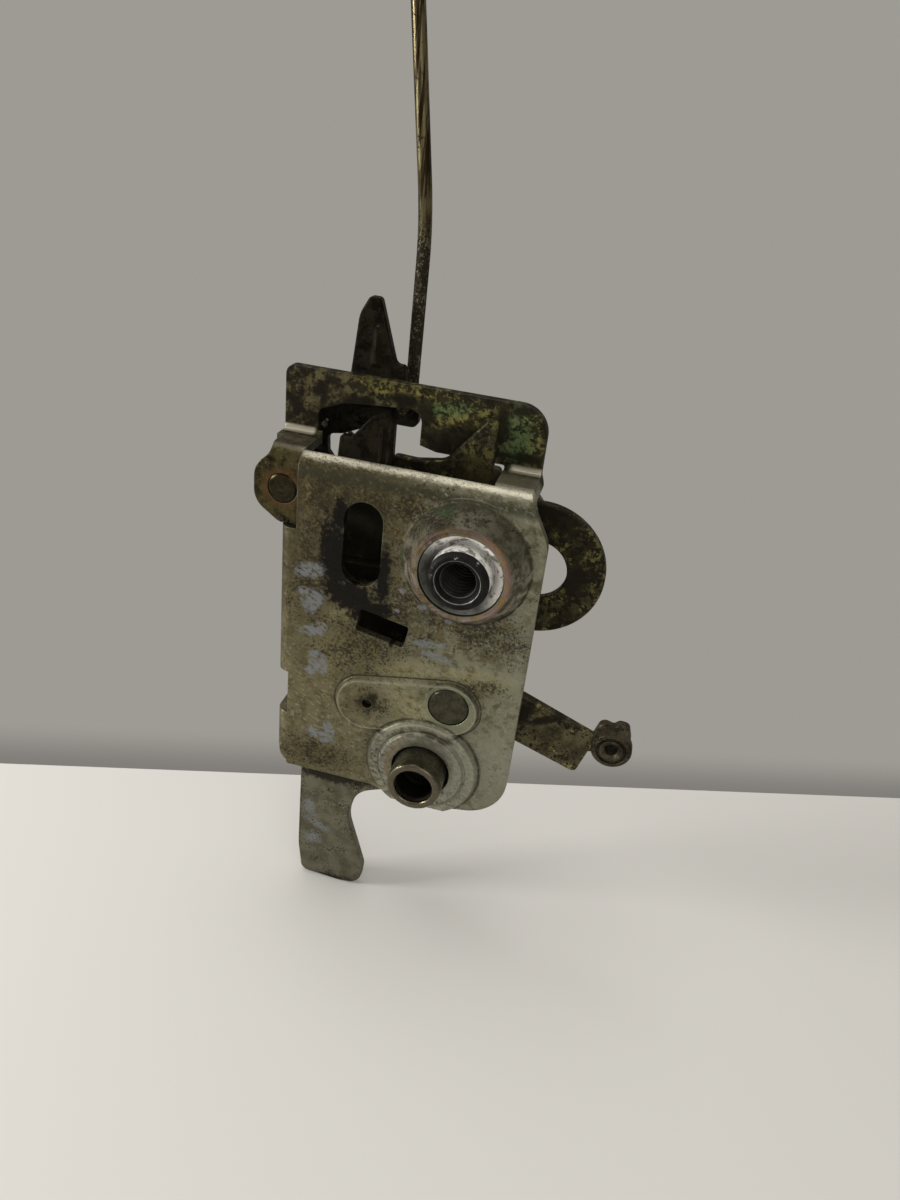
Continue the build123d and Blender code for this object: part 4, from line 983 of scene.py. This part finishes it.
table_paint, tree, shader = new_metal("table_paint", gloss=0.5)
shader.inputs["Base Color"].default_value = (0.66, 0.64, 0.60, 1)
shader.inputs["Roughness"].default_value = 0.7
floor_mesh.materials.append(table_paint)

far_grey = (0.342, 0.327, 0.300)
ground_paint, tree, shader = new_metal("ground_paint", gloss=0.5)
shader.inputs["Base Color"].default_value = (*far_grey, 1)
shader.inputs["Roughness"].default_value = 0.8
place = in_millimetres(tree)
square_to_edge = (-0.3034, 0.9529, 0)
edge_away = 46.0
shade_width = 20.0
# the ground is painted darker in a strip just past the table's edge, a painted shadow along that edge
away = vectors(tree, "DOT_PRODUCT", place, square_to_edge, out=1)
shaded = two_toned(tree, away, edge_away, edge_away + shade_width, (0.215, 0.205, 0.188), far_grey)
closing = tree.nodes["Material Output"]
tree.links.new(seen_as_written(tree, shader.outputs[0], shaded), closing.inputs["Surface"])
floor_mesh.materials.append(ground_paint)
floor_mesh.polygons[1].material_index = 1

world = bpy.data.worlds.new("pale_room")
bpy.context.scene.world = world
world.use_nodes = True
room = world.node_tree.nodes["Background"]
room.inputs["Color"].default_value = (0.62, 0.61, 0.58, 1)
room.inputs["Strength"].default_value = 0.75
world.node_tree.links.new(
    seen_as_written(world.node_tree, room.outputs[0], far_grey),
    world.node_tree.nodes["World Output"].inputs["Surface"])


def lamp(name, place, aim, size, power):
    """A square soft lamp at a place, turned towards the aim."""
    light = bpy.data.lights.new(name, "AREA")
    light.shape = "SQUARE"
    light.size = size
    light.energy = power
    body = bpy.data.objects.new(name, light)
    bpy.context.scene.collection.objects.link(body)
    body.location = place
    body.rotation_euler = (Vector(aim) - Vector(place)).to_track_quat("-Z", "Y").to_euler()


lamp("overhead_lamp", (-0.15, 0.05, 0.75), (0, 0, 0), 0.45, 2.0)
lamp("front_lamp", (0.35, -0.7, 0.4), (0, 0, -0.02), 0.5, 1.5)
lamp("left_lamp", (-0.55, -0.20, 0.12), (0, 0, -0.04), 0.14, 2.6)

camera_data = bpy.data.cameras.new("camera")
camera_data.lens = 27.0
camera_data.sensor_width = 36.0
camera_data.clip_start = 0.005
camera = bpy.data.objects.new("camera", camera_data)
bpy.context.scene.collection.objects.link(camera)

# the fitted camera: its three turns in radians, and where it sees the origin, in millimetres
pitch, yaw, roll = 0.5030, 0.1836, 0.1211
origin_seen = np.array([3.042, -6.385, 165.58])
tilt_down = np.array([[1, 0, 0], [0, np.cos(pitch), -np.sin(pitch)], [0, np.sin(pitch), np.cos(pitch)]])
turn_aside = np.array([[np.cos(yaw), 0, np.sin(yaw)], [0, 1, 0], [-np.sin(yaw), 0, np.cos(yaw)]])
lean = np.array([[np.cos(roll), -np.sin(roll), 0], [np.sin(roll), np.cos(roll), 0], [0, 0, 1]])
view = lean @ tilt_down @ turn_aside
eye = -view.T @ origin_seen / 1000
swap = np.array([[1, 0, 0], [0, 0, 1], [0, -1, 0]])
right, top, back = swap @ view[0], -swap @ view[1], -swap @ view[2]
pose = np.eye(4)
pose[:3, 0], pose[:3, 1], pose[:3, 2] = right, top, back
pose[:3, 3] = swap @ eye
camera.matrix_world = Matrix(pose.tolist())
bpy.context.scene.camera = camera

bpy.context.scene.view_settings.view_transform = "Standard"
